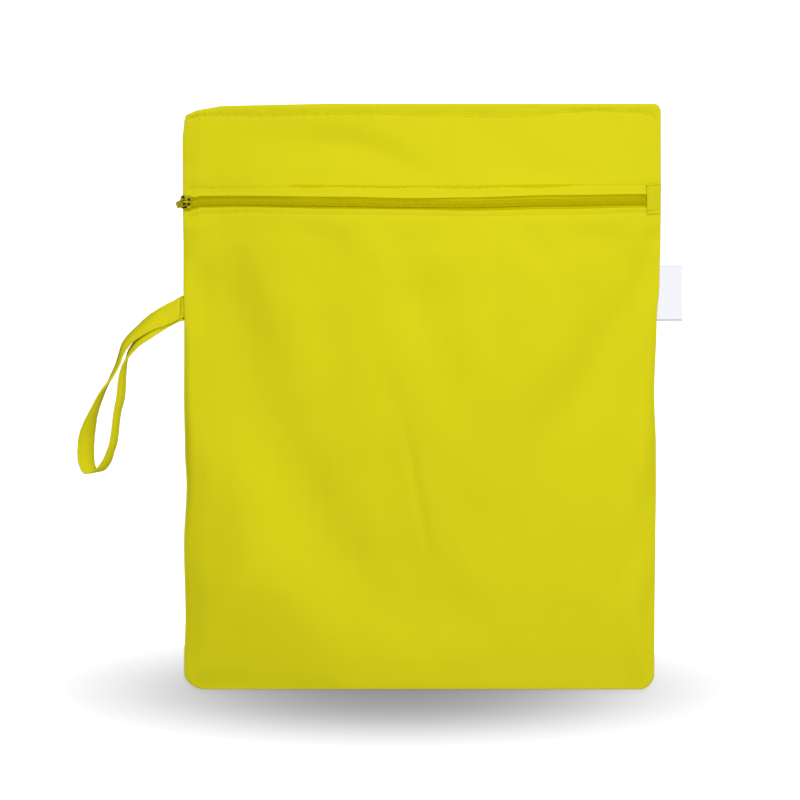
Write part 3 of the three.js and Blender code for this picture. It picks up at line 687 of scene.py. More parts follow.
def cloth_material(name, coordinate, shade=1.0):
    """Laminated knit: wales and courses as two sine waves times each other in a bump, faint long streaks
    and soft mottling in the colour, and a little sheen. The colours are multiplied by the shade; below 1 it
    gives a darker copy of the cloth as painted shade."""
    material, tree, place = new_material(name, coordinate)
    lighter, darker = (tuple(shade * part for part in colour) for colour in (CLOTH_COLOUR, CLOTH_DARKER))
    inputs = {"Vector": place, "Scale": (1 / STREAK_WIDE, 1 / STREAK_LONG, 1)}
    stretched = add_node(tree, "ShaderNodeMapping", inputs).outputs["Vector"]
    streaks = add_node(tree, "ShaderNodeTexNoise", {"Vector": stretched, "Scale": 1.0, "Detail": 3.0})
    inputs = {"Vector": place, "Scale": 26.0, "Detail": 4.0, "Roughness": 0.6}
    mottle = add_node(tree, "ShaderNodeTexNoise", inputs)
    inputs = {0: streaks.outputs["Fac"], 1: mottle.outputs["Fac"]}
    both = add_node(tree, "ShaderNodeMath", inputs, operation="ADD")
    inputs = {"Value": both.outputs[0], "From Min": 0.7, "From Max": 1.3, "To Min": 0.0, "To Max": 1.0}
    share = add_node(tree, "ShaderNodeMapRange", inputs).outputs["Result"]
    wales = sine_bands(tree, place, WALE, "X", 0.6)
    courses = sine_bands(tree, place, COURSE, "Y", 0.6)
    knit = add_node(tree, "ShaderNodeMath", {0: wales, 1: courses}, operation="MULTIPLY").outputs[0]
    cover(tree, {
        "Base Color": mix_colours(tree, share, darker, lighter),
        "Roughness": 0.8,
        "Specular IOR Level": 0.08,
        "Specular Tint": GLINT,
        "Sheen Weight": 0.06,
        "Sheen Roughness": 0.5,
        "Sheen Tint": (1.0, 0.95, 0.05, 1),
        "Normal": bumped(tree, knit, 0.35, 0.06 * mm),
    })
    return material


flat_cloth = cloth_material("lime_knit_flat", "Object")

outer = front_grid(bottom_edge, lower_lip, stations(196, 0.45), stations(186, 0.45))
points, faces = closed_sheet(outer, outer - (0, 0, CLOTH))
lower_cloth = make_piece("front_lower_cloth", points, faces, flat_cloth)
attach(lower_cloth, "bag")
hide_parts("front_lower_panel")

# Upper front panel
# The strip of the same cloth between the zip and the top seam. Its lower edge is folded under along the
# zip, and a row of stitches holds its top edge to the back.


def upper_lip(x):
    """Height up the bag of the upper lip of the zip."""
    return zip_middle(x) + lip_half_gap(x) + CLOTH / 2


def top_edge(x):
    """Height up the bag of the upper panel's top row."""
    return np.full_like(x, TOP - CLOTH / 2)


outer = front_grid(upper_lip, top_edge, stations(230, 0.35), stations(84, 0.5))
points, faces = closed_sheet(outer, outer - (0, 0, CLOTH))
upper_cloth = make_piece("front_upper_cloth", points, faces, flat_cloth)
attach(upper_cloth, "bag")
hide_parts("front_upper_panel")

# Back panel
# The back is one piece of the same cloth, flat on what the bag lies on.


def back_grid(across, upward, level):
    """Points of the back at one level within the pouch's outline."""
    u, v = np.meshgrid(across, upward)
    y = -TOP + CLOTH / 2 + v * (HEIGHT - CLOTH)
    left, right = side_edges(y)
    x = left + CLOTH / 2 + u * (right - left - CLOTH)
    return np.stack((x, y - top_fall(x, y), np.full_like(x, level)), axis=-1)


shares = stations(110), stations(130)
points, faces = closed_sheet(back_grid(*shares, CLOTH), back_grid(*shares, 0))
back_cloth = make_piece("back_cloth", points, faces, flat_cloth)
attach(back_cloth, "bag")
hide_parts("back_panel")

# Zip tapes
# Two woven polyester tapes, sewn under the lips, that carry the coil. Only a narrow strip of each shows.
TAPE_WIDTH = 12 * mm
TAPE_PART = 0.5 * mm
TAPE_COLOUR = (0.58, 0.515, 0.0004)
TAPE_DARKER = (0.53, 0.465, 0.0002)
RIB = 0.55 * mm
zip_left = side_edges(np.array(ZIP_Y))[0] + GAP
zip_right = side_edges(np.array(ZIP_Y))[1] - GAP


def tape_top(x):
    """Height of the tapes' upper face: a gap under the inner face of the front beside the zip."""
    y = zip_middle(x)
    return front_height(x, y) - CLOTH - GAP


def tape_material():
    """Twill tape: slanted ribs as a sine wave in colour and bump."""
    material, tree, place = new_material("woven_tape")
    ribs = sine_bands(tree, place, RIB, "DIAGONAL", 0.4)
    cover(tree, {
        "Base Color": mix_colours(tree, ribs, TAPE_DARKER, TAPE_COLOUR),
        "Roughness": 0.85,
        "Specular IOR Level": 0.05,
        "Specular Tint": GLINT,
        "Normal": bumped(tree, ribs, 0.5, 0.08 * mm),
    })
    return material


woven_tape = tape_material()


def tape_grid(near, far):
    """Points of one tape's upper face, between two distances from the zip's middle line."""
    u, v = np.meshgrid(stations(360, 0.3), stations(12, 0.4))
    x = zip_left + TAPE_THICK / 2 + u * (zip_right - zip_left - TAPE_THICK)
    across = near + v * (far - near)
    return np.stack((x, zip_middle(x) + across, tape_top(x)), axis=-1)


for name, near, far in (
    ("upper", TAPE_PART / 2 + TAPE_THICK / 2, TAPE_PART / 2 + TAPE_WIDTH - TAPE_THICK / 2),
    ("lower", -TAPE_PART / 2 - TAPE_WIDTH + TAPE_THICK / 2, -TAPE_PART / 2 - TAPE_THICK / 2),
):
    outer = tape_grid(near, far)
    points, faces = closed_sheet(outer, outer - (0, 0, TAPE_THICK), 3)
    tape = make_piece("zip_tape_" + name, points, faces, woven_tape)
    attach(tape, "bag")
    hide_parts("zipper_tape_" + name)

# Zip coil
# Both halves of the nylon coil, closed: loops of thin round wire whose heads lie between each other in the
# middle. Two rows of thread sew them to the tapes and press a groove into them.
COIL_STANDS = 0.95 * mm
WIRE = 0.34 * mm
LOOP_PITCH = 1.2 * mm
COIL_COLOUR = (0.49, 0.43, 0.0005)
COIL_DARKER = (0.44, 0.385, 0.0003)
COIL_THREAD = 1.4 * mm
CORE_THICK = 0.2 * mm
CORE_WIDE = 0.85

# One loop's middle line: distance from the zip's middle as a share of half the coil's width, height above
# the tape as a share of the coil's height, lead along the zip as a share of the pitch.
LOOP = np.array([
    (0.1, 0.26, 0.26),
    (0.7, 0.24, 0.12),
    (0.92, 0.42, 0.04),
    (0.9, 0.7, 0.0),
    (0.72, 0.84, 0.0),
    (0.56, 0.74, 0.0),
    (0.36, 0.84, 0.0),
    (0.0, 0.86, 0.0),
    (-0.24, 0.78, 0.0),
    (-0.28, 0.5, 0.08),
    (-0.14, 0.3, 0.2),
])


def tubes(paths, radius, sides=6):
    """Closed tubes of round section along many paths of the same number of points. Each ring stands across
    its path: path + radius × (cos(a) × side + sin(a) × up), and both ends are capped."""
    count, steps = paths.shape[:2]
    along = np.gradient(paths, axis=1)
    along /= np.linalg.norm(along, axis=2, keepdims=True)
    rest = np.zeros_like(along)
    rest[..., 2] = 1
    steep = np.abs(along[..., 2]) > 0.9
    rest[steep] = (1, 0, 0)
    side = np.cross(along, rest)
    side /= np.linalg.norm(side, axis=2, keepdims=True)
    for k in range(1, steps):
        turned = side[:, k - 1] - np.sum(side[:, k - 1] * along[:, k], axis=1, keepdims=True) * along[:, k]
        side[:, k] = turned / np.linalg.norm(turned, axis=1, keepdims=True)
    up = np.cross(side, along)
    angles = np.linspace(0, 2 * np.pi, sides, endpoint=False)[:, None]
    radius = np.broadcast_to(np.asarray(radius), (steps,))[None, :, None, None]
    rings = paths[:, :, None] + radius * (np.cos(angles) * side[:, :, None] + np.sin(angles) * up[:, :, None])
    index = np.arange(count * steps * sides).reshape(count, steps, sides)
    a, b = index[:, :-1], index[:, 1:]
    walls = np.stack((a, b, np.roll(b, -1, axis=2), np.roll(a, -1, axis=2)), axis=-1).reshape(-1, 4)
    caps = np.concatenate((index[:, 0, :], index[:, -1, ::-1]))
    return rings.reshape(-1, 3), walls.tolist() + caps.tolist()


def coil_material():
    """Dyed nylon: smooth wire with faint changes of tone along the zip."""
    material, tree, place = new_material("nylon_coil")
    tone = add_node(tree, "ShaderNodeTexNoise", {"Vector": place, "Scale": 300.0, "Detail": 3.0})
    cover(tree, {
        "Base Color": mix_colours(tree, tone.outputs["Fac"], COIL_DARKER, COIL_COLOUR),
        "Roughness": 0.55,
        "Specular IOR Level": 0.12,
        "Specular Tint": GLINT,
    })
    return material


nylon = coil_material()


def coil_loops(side, shift):
    """Paths of the loops on one side of the zip, one a pitch apart, standing on the tapes."""
    count = int((zip_right - zip_left - 2 * LOOP_PITCH) / LOOP_PITCH)
    x = zip_left + LOOP_PITCH + (np.arange(count)[:, None] + shift + LOOP[None, :, 2]) * LOOP_PITCH
    y = zip_middle(x) + side * LOOP[None, :, 0] * COIL_WIDTH / 2
    z = tape_top(x) + LOOP[None, :, 1] * COIL_STANDS
    return np.stack((x, y, z), axis=-1)


paths = np.concatenate((coil_loops(1, 0.0), coil_loops(-1, 0.5)))
points, faces = tubes(paths, WIRE)
coil = make_piece("zip_coil_loops", points, faces, nylon)
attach(coil, "bag")
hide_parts("zipper_coil")

u, v = np.meshgrid(stations(200, 0), np.linspace(-1, 1, 13))
x = zip_left + LOOP_PITCH + u * (zip_right - zip_left - 2 * LOOP_PITCH)
under_thread = bell(np.abs(v) - COIL_THREAD / (COIL_WIDTH / 2), 0.1)
filling = COIL_STANDS * (0.95 - 0.35 * np.abs(v) ** 3 - 0.2 * under_thread)
outer = np.stack((x, zip_middle(x) + v * CORE_WIDE * COIL_WIDTH / 2, tape_top(x) + filling), axis=-1)
points, faces = closed_sheet(outer, outer - (0, 0, CORE_THICK), 2)
core = make_piece("zip_coil_core", points, faces, nylon)
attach(core, "bag")

# Sewing thread
# Short stitches of polyester thread in the cloth's colour: along both lips of the zip, under the top edge
# and over the coil. Each stitch is one small arched capsule that dips into the cloth at both ends.
THREAD = 0.18 * mm
COIL_THREAD_THICK = 0.17 * mm
TWIST = 0.3 * mm
THREAD_COLOUR = (0.585, 0.545, 0.0105)
THREAD_DARKER = (0.53, 0.49, 0.009)


def thread_material():
    """Twisted thread: a fine slanted wave in the bump, a little glossier than the cloth."""
    material, tree, place = new_material("sewing_thread")
    twist = sine_bands(tree, place, TWIST, "DIAGONAL")
    cover(tree, {
        "Base Color": mix_colours(tree, twist, THREAD_DARKER, THREAD_COLOUR),
        "Roughness": 0.6,
        "Specular IOR Level": 0.15,
        "Specular Tint": GLINT,
        "Normal": bumped(tree, twist, 0.4, 0.04 * mm),
    })
    return material


thread = thread_material()


def stitches(x, y, height, slant, length=STITCH, radius=THREAD):
    """Paths and radii of a row of stitches centred on points: each runs along X, turned by its slant, and
    lies on the given height; it arches as 1 − t² and its radius as √(1 − t⁴)."""
    t = np.linspace(-1, 1, 7)
    reach = 0.42 * length
    px = x[:, None] + t * reach
    py = y[:, None] + t * reach * slant
    pz = height(px, py) + radius * (0.35 - 1.2 * t**2)
    return np.stack((px, py, pz), axis=-1), radius * np.sqrt(np.maximum(1 - t**4, 0.09))


def row_places(from_x, to_x, pitch):
    """Middles of the stitches of a row, one pitch apart."""
    count = int((to_x - from_x) / pitch)
    return from_x + (np.arange(count) + 0.5) * (to_x - from_x) / count


seam_left, seam_right = LEFT + 3 * mm, RIGHT - 3 * mm
for name, row, slant in (
    ("upper_lip", upper_row, -0.35),
    ("lower_lip", lower_row, -0.35),
    ("top_seam", top_row, -0.2),
):
    x = row_places(seam_left, seam_right, STITCH)
    paths, radii = stitches(x, row(x), dressed_height, slant)
    paths[..., 1] -= top_fall(paths[..., 0], paths[..., 1])
    points, faces = tubes(paths, radii)
    row_piece = make_piece("stitches_" + name, points, faces, thread)
    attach(row_piece, "bag")

x = row_places(zip_left + 3 * LOOP_PITCH, zip_right - 2 * LOOP_PITCH, 2 * LOOP_PITCH)
rows = []
for side in (-1, 1):
    paths, radii = stitches(
        x,
        zip_middle(x) + side * COIL_THREAD,
        lambda px, py: tape_top(px) + 0.8 * COIL_STANDS,
        0,
        2 * LOOP_PITCH,
        COIL_THREAD_THICK,
    )
    rows.append(paths)
points, faces = tubes(np.concatenate(rows), radii)
coil_thread = make_piece("stitches_coil", points, faces, thread)
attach(coil_thread, "bag")

# Zip slider
# A small cast and painted slider that clasps the coil: an upper and a lower plate joined by a neck at the
# nose, rails at both sides, and an arched bridge for the pull. Six pockets sink into the upper plate, four
# beside the bridge and two at the plate's sides, and their floors are painted near black as painted shade.
COIL_CLEAR = tape_top(np.array((slider_low.x + slider_high.x) / 2))
SLIDER_X = (slider_low.x + slider_high.x) / 2
SLIDER_Y = (slider_low.y + slider_high.y) / 2
LOWER_BOTTOM = slider_low.z
UPPER_TOP = 5.9 * mm
UPPER_BOTTOM = UPPER_TOP - PLATE_THICK
NECK_LONG = 1.1 * mm
NECK_WIDE = 3 * mm
FLANGE_THICK = 0.7 * mm
BRIDGE_LONG = 4.4 * mm
BRIDGE_WIDE = 1.3 * mm
BRIDGE_THICK = 0.6 * mm
BRIDGE_CORNER = 0.8 * mm
POCKET_DEEP = 0.75 * mm
PLATE_SOFT = 0.22 * mm
REAR_RIM = (3.3 * mm, 0.35 * mm, 0.2 * mm)
REAR_RIM_FROM, REAR_RIM_TO = 0.3 * mm, 3.1 * mm
SHOULDER = (3.0 * mm, 0.4 * mm, 0.14 * mm)
SHOULDER_SPREAD = 0.12
SHOULDER_LONG = 2.2 * mm
RAIL_LONG = 0.62 * SLIDER_LONG
RAIL_PLACE = 0.96
# Near-black painted shade for the floors of the pockets.
POCKET_SHADE_COLOUR = (0.012, 0.01, 0.004, 1)
PAINT_COLOUR = (0.62, 0.55, 0.002)
PAINT_WORN = (0.2, 0.172, 0.001)

# Pockets in the upper plate: middle along and across, half length, half width, in mm.
POCKETS = (
    (-1.35, 1.6, 0.85, 0.85),
    (-1.35, -1.6, 0.85, 0.85),
    (1.95, 1.55, 0.95, 0.85),
    (1.95, -1.55, 0.95, 0.85),
    (-1.1, -3.5, 1.6, 0.75),
    (-2.2, 3.5, 1.1, 0.75),
)


def pocket_share(x, y):
    """1 on the floor of a pocket and 0 outside: the ease of what is left inside its half length and width."""
    share = np.zeros_like(x)
    for px, py, long, wide in POCKETS:
        inside = 1 - np.maximum(np.abs(x / mm - px) / long, np.abs(y / mm - py) / wide)
        share = np.maximum(share, ease(inside / 0.3 + 0.5))
    return share


def superellipse(angles, power):
    """Cosine, sine and radius at angles: (|cos|^power + |sin|^power)^(−1/power)."""
    c, s = np.cos(angles), np.sin(angles)
    return c, s, (np.abs(c) ** power + np.abs(s) ** power) ** (-1 / power)


def plate_outline(angles):
    """A rounded rectangle as a superellipse of power 4: wide at the nose, a tenth narrower at the rear."""
    c, s, radius = superellipse(angles, 4)
    x = radius * c * SLIDER_LONG / 2
    y = radius * s * SLIDER_WIDE / 2 * (0.95 - 0.05 * radius * c)
    return x, y


def plate(bottom, top, relief=0.0):
    """Points and faces of a plate from rings of its outline, drawn in towards both middles. The rings at the
    border follow a quarter circle each; the top rings carry the relief of rim, shoulders and pockets."""
    angles = np.linspace(0, 2 * np.pi, 96, endpoint=False)
    soft = PLATE_SOFT
    flat = np.linspace(0.03, 1 - soft / (SLIDER_LONG / 2), 34)
    turn = np.linspace(0, np.pi / 2, 6)[1:]
    bend = 1 - soft / (SLIDER_LONG / 2) * (1 - np.sin(turn))
    scale = np.concatenate((flat, bend, bend[::-1], flat[::-1]))
    fall = np.concatenate((0 * flat, soft * (1 - np.cos(turn))))
    level = np.concatenate((top - fall, (bottom + fall)[::-1]))
    upper = np.arange(len(scale)) < len(flat)
    x, y = plate_outline(angles)
    x, y = scale[:, None] * x, scale[:, None] * y
    place, half, high = REAR_RIM
    rim = high * bell(x - place, half) * (np.abs(y) < REAR_RIM_TO) * (np.abs(y) > REAR_RIM_FROM)
    place, half, high = SHOULDER
    shoulder = high * bell(np.abs(y) - place - SHOULDER_SPREAD * x, half)
    shoulder = shoulder * ease((SHOULDER_LONG - np.abs(x)) / mm)
    shape = relief * (rim + shoulder - POCKET_DEEP * pocket_share(x, y))
    z = level[:, None] + shape * upper[:, None]
    rings = np.stack((SLIDER_X + x, SLIDER_Y + y, z), axis=-1)
    ends = np.array([(SLIDER_X, SLIDER_Y, z[0].mean()), (SLIDER_X, SLIDER_Y, z[-1].mean())])
    return ring_faces(rings, ends)


def ring_faces(rings, ends=None):
    """Points and faces of a body of stacked rings, closed with a fan at both end points, or, without end
    points, closed from its last ring to its first."""
    count, sides = rings.shape[:2]
    index = np.arange(count * sides).reshape(count, sides)
    if ends is None:
        a, b = index, np.roll(index, -1, axis=0)
    else:
        a, b = index[:-1], index[1:]
    walls = np.stack((a, b, np.roll(b, -1, axis=1), np.roll(a, -1, axis=1)), axis=-1)
    walls = walls.reshape(-1, 4).tolist()
    points = rings.reshape(-1, 3)
    if ends is not None:
        first, last = index[0], index[-1]
        walls += np.stack((np.full(sides, len(points)), first, np.roll(first, -1)), axis=-1).tolist()
        walls += np.stack((np.full(sides, len(points) + 1), np.roll(last, -1), last), axis=-1).tolist()
        points = np.concatenate((points, ends))
    return points, walls


def soft_block(x, y, z, long, wide, high):
    """A block with soft edges, as rings of a superellipse of power 6 whose size follows the same curve."""
    tilt = np.linspace(np.pi / 2, -np.pi / 2, 19)[1:-1, None]
    turn = np.linspace(0, 2 * np.pi, 40, endpoint=False)[None]
    c, s, size = superellipse(tilt, 6)
    cc, ss, around = superellipse(turn, 6)
    rings = np.stack(
        (
            x + size * c * around * cc * long / 2,
            y + size * c * around * ss * wide / 2,
            z + size * s * high / 2 + 0 * turn,
        ),
        axis=-1,
    )
    return ring_faces(rings, np.array([(x, y, z + high / 2), (x, y, z - high / 2)]))


def bridge_body():
    """The bridge: an arch along the zip swept with a soft section, both feet sunk in the upper plate."""
    half = BRIDGE_LONG / 2 - BRIDGE_THICK / 2
    rise = slider_high.z - BRIDGE_THICK / 2
    foot = UPPER_TOP - PLATE_THICK / 2
    corner = BRIDGE_CORNER
    turn = np.linspace(np.pi, 0, 25)
    bend_x = np.where(turn > np.pi / 2, -1, 1) * (half - corner) + corner * np.cos(turn)
    bend_z = rise - corner + corner * np.sin(turn)
    x = np.concatenate(([-half, -half], bend_x, [half, half]))
    leg = (foot + rise) / 2 - 0.2 * mm
    z = np.concatenate(([foot, leg], bend_z, [leg, foot]))
    along_x, along_z = np.gradient(x), np.gradient(z)
    size = np.hypot(along_x, along_z)
    out_x, out_z = -along_z / size, along_x / size
    c, s, around = superellipse(np.linspace(0, 2 * np.pi, 20, endpoint=False), 4)
    across, thick = around * c * BRIDGE_WIDE / 2, around * s * BRIDGE_THICK / 2
    rings = np.stack(
        (
            SLIDER_X + x[:, None] + out_x[:, None] * thick,
            SLIDER_Y + across + 0 * x[:, None],
            z[:, None] + out_z[:, None] * thick,
        ),
        axis=-1,
    )
    ends = np.array([(SLIDER_X + x[0], SLIDER_Y, z[0]), (SLIDER_X + x[-1], SLIDER_Y, z[-1])])
    return ring_faces(rings, ends)


def paint_material(name, lighter, darker):
    """Glossy paint over cast metal: patchy tone, a fine uneven surface, and painted shade, near black, in the
    pockets, read from the piece's own attribute."""
    material, tree, place = new_material(name)
    patches = add_node(tree, "ShaderNodeTexNoise", {"Vector": place, "Scale": 900.0, "Detail": 3.0})
    patches = patches.outputs["Fac"]
    painted_pocket_shade = add_node(tree, "ShaderNodeAttribute", attribute_name="painted_pocket_shade").outputs["Fac"]
    inputs = {"Factor": painted_pocket_shade, "A": mix_colours(tree, patches, darker, lighter), "B": POCKET_SHADE_COLOUR}
    cover(tree, {
        "Base Color": add_node(tree, "ShaderNodeMix", inputs, data_type="RGBA").outputs["Result"],
        "Roughness": 0.3,
        "Specular IOR Level": 0.25,
        "Specular Tint": (1.0, 0.93, 0.2, 1),
        "Normal": bumped(tree, patches, 0.3, 0.1 * mm),
    })
    return material


def joined(bodies):
    """Points and faces of several bodies as one piece."""
    points, faces, start = [], [], 0
    for body_points, body_faces in bodies:
        points.append(body_points)
        faces += [[k + start for k in face] for face in body_faces]
        start += len(body_points)
    return np.concatenate(points), faces


rail_y = RAIL_PLACE * (SLIDER_WIDE / 2 - FLANGE_THICK / 2)
rail_middle = (COIL_CLEAR + GAP + UPPER_BOTTOM + PLATE_THICK / 2) / 2
rail_size = (RAIL_LONG, FLANGE_THICK, UPPER_BOTTOM + PLATE_THICK / 2 - COIL_CLEAR - GAP)
neck_x = SLIDER_X - SLIDER_LONG / 2 + NECK_LONG / 2 + 0.1 * mm
neck_size = (NECK_LONG, NECK_WIDE, UPPER_TOP - LOWER_BOTTOM)
points, faces = joined((
    plate(LOWER_BOTTOM, LOWER_BOTTOM + PLATE_THICK),
    plate(UPPER_BOTTOM, UPPER_TOP, 1.0),
    soft_block(neck_x, SLIDER_Y, (LOWER_BOTTOM + UPPER_TOP) / 2, *neck_size),
    soft_block(SLIDER_X, SLIDER_Y + rail_y, rail_middle, *rail_size),
    soft_block(SLIDER_X, SLIDER_Y - rail_y, rail_middle, *rail_size),
    bridge_body(),
))
slider_paint = paint_material("slider_paint", PAINT_COLOUR, PAINT_WORN)
slider = make_piece("slider_body", points, faces, slider_paint)
# Painted shade: the pocket floors on the upper plate's top turn near black.
painted_pocket_shade = pocket_share(points[:, 0] - SLIDER_X, points[:, 1] - SLIDER_Y)
painted_pocket_shade *= ease((UPPER_TOP - points[:, 2]) / (0.3 * mm)) * (points[:, 2] > UPPER_BOTTOM)
slider.data.attributes.new("painted_pocket_shade", "FLOAT", "POINT").data.foreach_set("value", painted_pocket_shade)
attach(slider, "bag")
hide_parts("zipper_slider")

# Zip pull
# A short flat tab of the same painted metal with an eye round the bridge. It hangs to the left over the
# slider's nose, turned down a little, and swings over the bridge.
PULL_COLOUR = (0.36, 0.31, 0.001)
PULL_WORN = (0.18, 0.15, 0.001)
PULL_LONG = 6.9 * mm
PULL_WIDE = 4.7 * mm
BAR = 1 * mm
PLAY = 0.3 * mm
PULL_SKEW = math.radians(20)
EYE_START, EYE_END = -0.5 * mm, -2.8 * mm
EYE_HALF = 1.7 * mm
PULL_SOFT = 0.35 * mm
PULL_SUNK = 0.14 * mm
pull_droop = math.atan(2 / 3 * PLAY / (SLIDER_LONG / 2))
PIVOT = np.array((SLIDER_X, SLIDER_Y, UPPER_TOP + PLAY + BAR / 2))


def pull_body():
    """Points and faces of the pull round its eye. For each direction from the eye's middle, sections run from
    the eye's border to the outer border and back on the under side, with soft edges; the middle of the tab
    is sunk a little inside a raised rim."""
    angles = np.linspace(0, 2 * np.pi, 120, endpoint=False)
    c, s, radius = superellipse(angles, 4)
    eye_middle = (EYE_START + EYE_END) / 2
    eye_x = (EYE_START - EYE_END) / 2 * c * radius
    eye_y = EYE_HALF * s * radius
    long_behind, long_ahead = PULL_LONG + eye_middle, BAR / 2 - eye_middle
    reach_x = np.where(c < 0, long_behind, long_ahead)
    out = ((np.abs(c) / reach_x) ** 8 + (np.abs(s) / (PULL_WIDE / 2)) ** 8) ** (-1 / 8)
    out_x, out_y = out * c, out * s
    wider = 0.08 * ease((out_x + 3.4 * mm) / (2 * mm))
    narrower = 0.05 * ease((-out_x - 2.4 * mm) / (3 * mm))
    out_y = out_y * (1 + wider - narrower)
    share = np.concatenate((np.linspace(0, 1, 14), np.linspace(1, 0, 14)))[:, None]
    side = np.concatenate((np.ones(14), -np.ones(14)))[:, None]
    x = eye_x + share * (out_x - eye_x)
    y = eye_y + share * (out_y - eye_y)
    from_border = np.minimum(share, 1 - share) * np.hypot(out_x - eye_x, out_y - eye_y)
    soft = np.sqrt(1 - (1 - np.clip(from_border / PULL_SOFT, 0, 1)) ** 2)
    sunk = PULL_SUNK * ease((from_border - 0.5 * mm) / (0.3 * mm))
    z = side * (BAR / 2 * (0.35 + 0.65 * soft) - sunk)
    x = eye_middle + x
    turn_x, turn_y = math.cos(PULL_SKEW), math.sin(PULL_SKEW)
    level = math.cos(pull_droop)
    ahead = np.array((turn_x * level, turn_y * level, math.sin(pull_droop)))
    across = np.array((-turn_y, turn_x, 0))
    above = np.cross(ahead, across)
    rings = PIVOT + x[..., None] * ahead + y[..., None] * across + z[..., None] * above
    return ring_faces(rings[::-1])


points, faces = pull_body()
pull = make_piece("pull_tab", points, faces, paint_material("pull_paint", PULL_COLOUR, PULL_WORN))
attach(pull, "pull")
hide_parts("zipper_pull")

# Wrist strap
# A strap of the same cloth, folded to a flat band and stitched along both edges, then folded once into a
# loop with both ends sewn into the left side seam. It stands on its low edge and leans over on its way.
STRAP_REACH = 72 * mm
STRAP_DROP = 111.7 * mm
STRAP_TUCK = 6 * mm
STRAP_STEPS = 14
STRAP_CURL = 1.35
STRAP_PLUMP = 0.6
STANDING_LEAN = 0.25
CURLED_LEAN = 0.3
FLAT_LEAN = 0.94
ROOT_DENT = 1.6 * mm
ROOT_DENT_OUT = 1.5 * mm
ROOT_DENT_HALF = 1 * mm
EDGE_ROW = 1.7 * mm
EDGE_ROW_HALF = 0.5 * mm
EDGE_ROW_DIP = 0.45 * mm
QUILT = 0.13 * mm
QUILT_WAVE = 5 * mm
QUILT_REACH = 2.5 * mm

# Its course from the upper end, round the loop and back: out and down of its middle as shares of its reach
# and drop, lean of its raised edge in X and Y as shares of its width, lift of its low edge from the ground to
# its level in the seam.
STRAP = np.array([
    (0.0, -0.012, 0.0, -1.0, 1),
    (0.085, 0.017, 0.06, -0.96, 0.84),
    (0.19, 0.05, 0.2, -0.86, 0.67),
    (0.3, 0.087, 0.33, -0.59, 0.31),
    (0.4, 0.133, 0.25, -0.44, 0.11),
    (0.475, 0.174, 0.22, -0.32, 0.04),
    (0.528, 0.215, 0.24, -0.17, 0),
    (0.575, 0.275, 0.16, -0.04, 0),
    (0.61, 0.34, 0.14, 0.0, 0),
    (0.672, 0.42, 0.09, 0.0, 0),
    (0.761, 0.515, -0.12, 0.04, 0),
    (0.829, 0.609, -0.25, 0.05, 0),
    (0.876, 0.7, -0.54, 0.05, 0),
    (0.906, 0.782, -0.7, 0.02, 0),
    (0.914, 0.861, -0.73, -0.04, 0),
    (0.908, 0.935, -0.7, -0.1, 0),
    (0.865, 0.993, -0.55, -0.14, 0),
    (0.782, 0.98, -0.4, -0.02, 0),
    (0.718, 0.928, -0.34, 0.0, 0),
    (0.687, 0.875, -0.25, 0.0, 0),
    (0.658, 0.819, -0.24, 0.0, 0),
    (0.617, 0.624, -0.22, 0.02, 0),
    (0.588, 0.539, -0.28, 0.02, 0),
    (0.568, 0.405, -0.2, 0.02, 0),
    (0.538, 0.326, -0.05, 0.0, 0),
    (0.5, 0.274, 0.1, -0.09, 0),
    (0.42, 0.21, 0.18, -0.22, 0),
    (0.33, 0.151, 0.28, -0.48, 0.05),
    (0.225, 0.09, 0.24, -0.76, 0.15),
    (0.11, 0.04, 0.08, -0.95, 0.35),
    (0.0, 0.008, 0.0, -1.0, 1),
])


def smooth_rows(rows, steps):
    """A centripetal Catmull-Rom curve through the rows: between two rows, the cubic whose slopes come from
    the rows around them, weighted by the square roots of the distances between their places."""
    ends = np.concatenate((2 * rows[:1] - rows[1:2], rows, 2 * rows[-1:] - rows[-2:-1]))
    span = np.linalg.norm(np.diff(ends[:, :3], axis=0), axis=1)[:, None] ** 0.5
    p0, p1, p2, p3 = ends[:-3], ends[1:-2], ends[2:-1], ends[3:]
    d0, d1, d2 = span[:-2], span[1:-1], span[2:]
    slope_1 = ((p1 - p0) / d0 - (p2 - p0) / (d0 + d1) + (p2 - p1) / d1) * d1
    slope_2 = ((p2 - p1) / d1 - (p3 - p1) / (d1 + d2) + (p3 - p2) / d2) * d1
    t = np.linspace(0, 1, steps, endpoint=False)[None, :, None]
    a, b = p1[:, None], p2[:, None]
    m, n = slope_1[:, None], slope_2[:, None]
    curve = a + m * t + (3 * (b - a) - 2 * m - n) * t**2 + (2 * (a - b) + m + n) * t**3
    return np.concatenate((curve.reshape(-1, rows.shape[1]), rows[-1:]))


def strap_course():
    """Rows of the strap's low middle line and lean, with both ends led on into the seam."""
    ends = STRAP[[0, -1]].copy()
    ends[:, 0] = -STRAP_TUCK / STRAP_REACH
    course = np.concatenate((ends[:1], STRAP, ends[1:]))
    lower_level = CLOTH + GAP + STRAP_THICK / 2
    level = np.where(np.arange(len(course)) < len(course) / 2, lower_level + STRAP_THICK + GAP, lower_level)
    ground = GAP + STRAP_THICK / 2
    flat = np.hypot(course[:, 2], course[:, 3])
    z = 2 * GAP + flat * STRAP_THICK / 2 + course[:, 4] * (level - ground)
    x = LEFT - course[:, 0] * STRAP_REACH
    y = STRAP_Y - course[:, 1] * STRAP_DROP
    return np.stack((x, y, z, course[:, 2], course[:, 3]), axis=-1)


def added_up(slope):
    """What a slope adds up to from the first row of points, as sums of the means of neighbours."""
    means = (slope[1:] + slope[:-1]) / 2
    return np.concatenate((np.zeros((1, slope.shape[1])), np.cumsum(means, axis=0)))


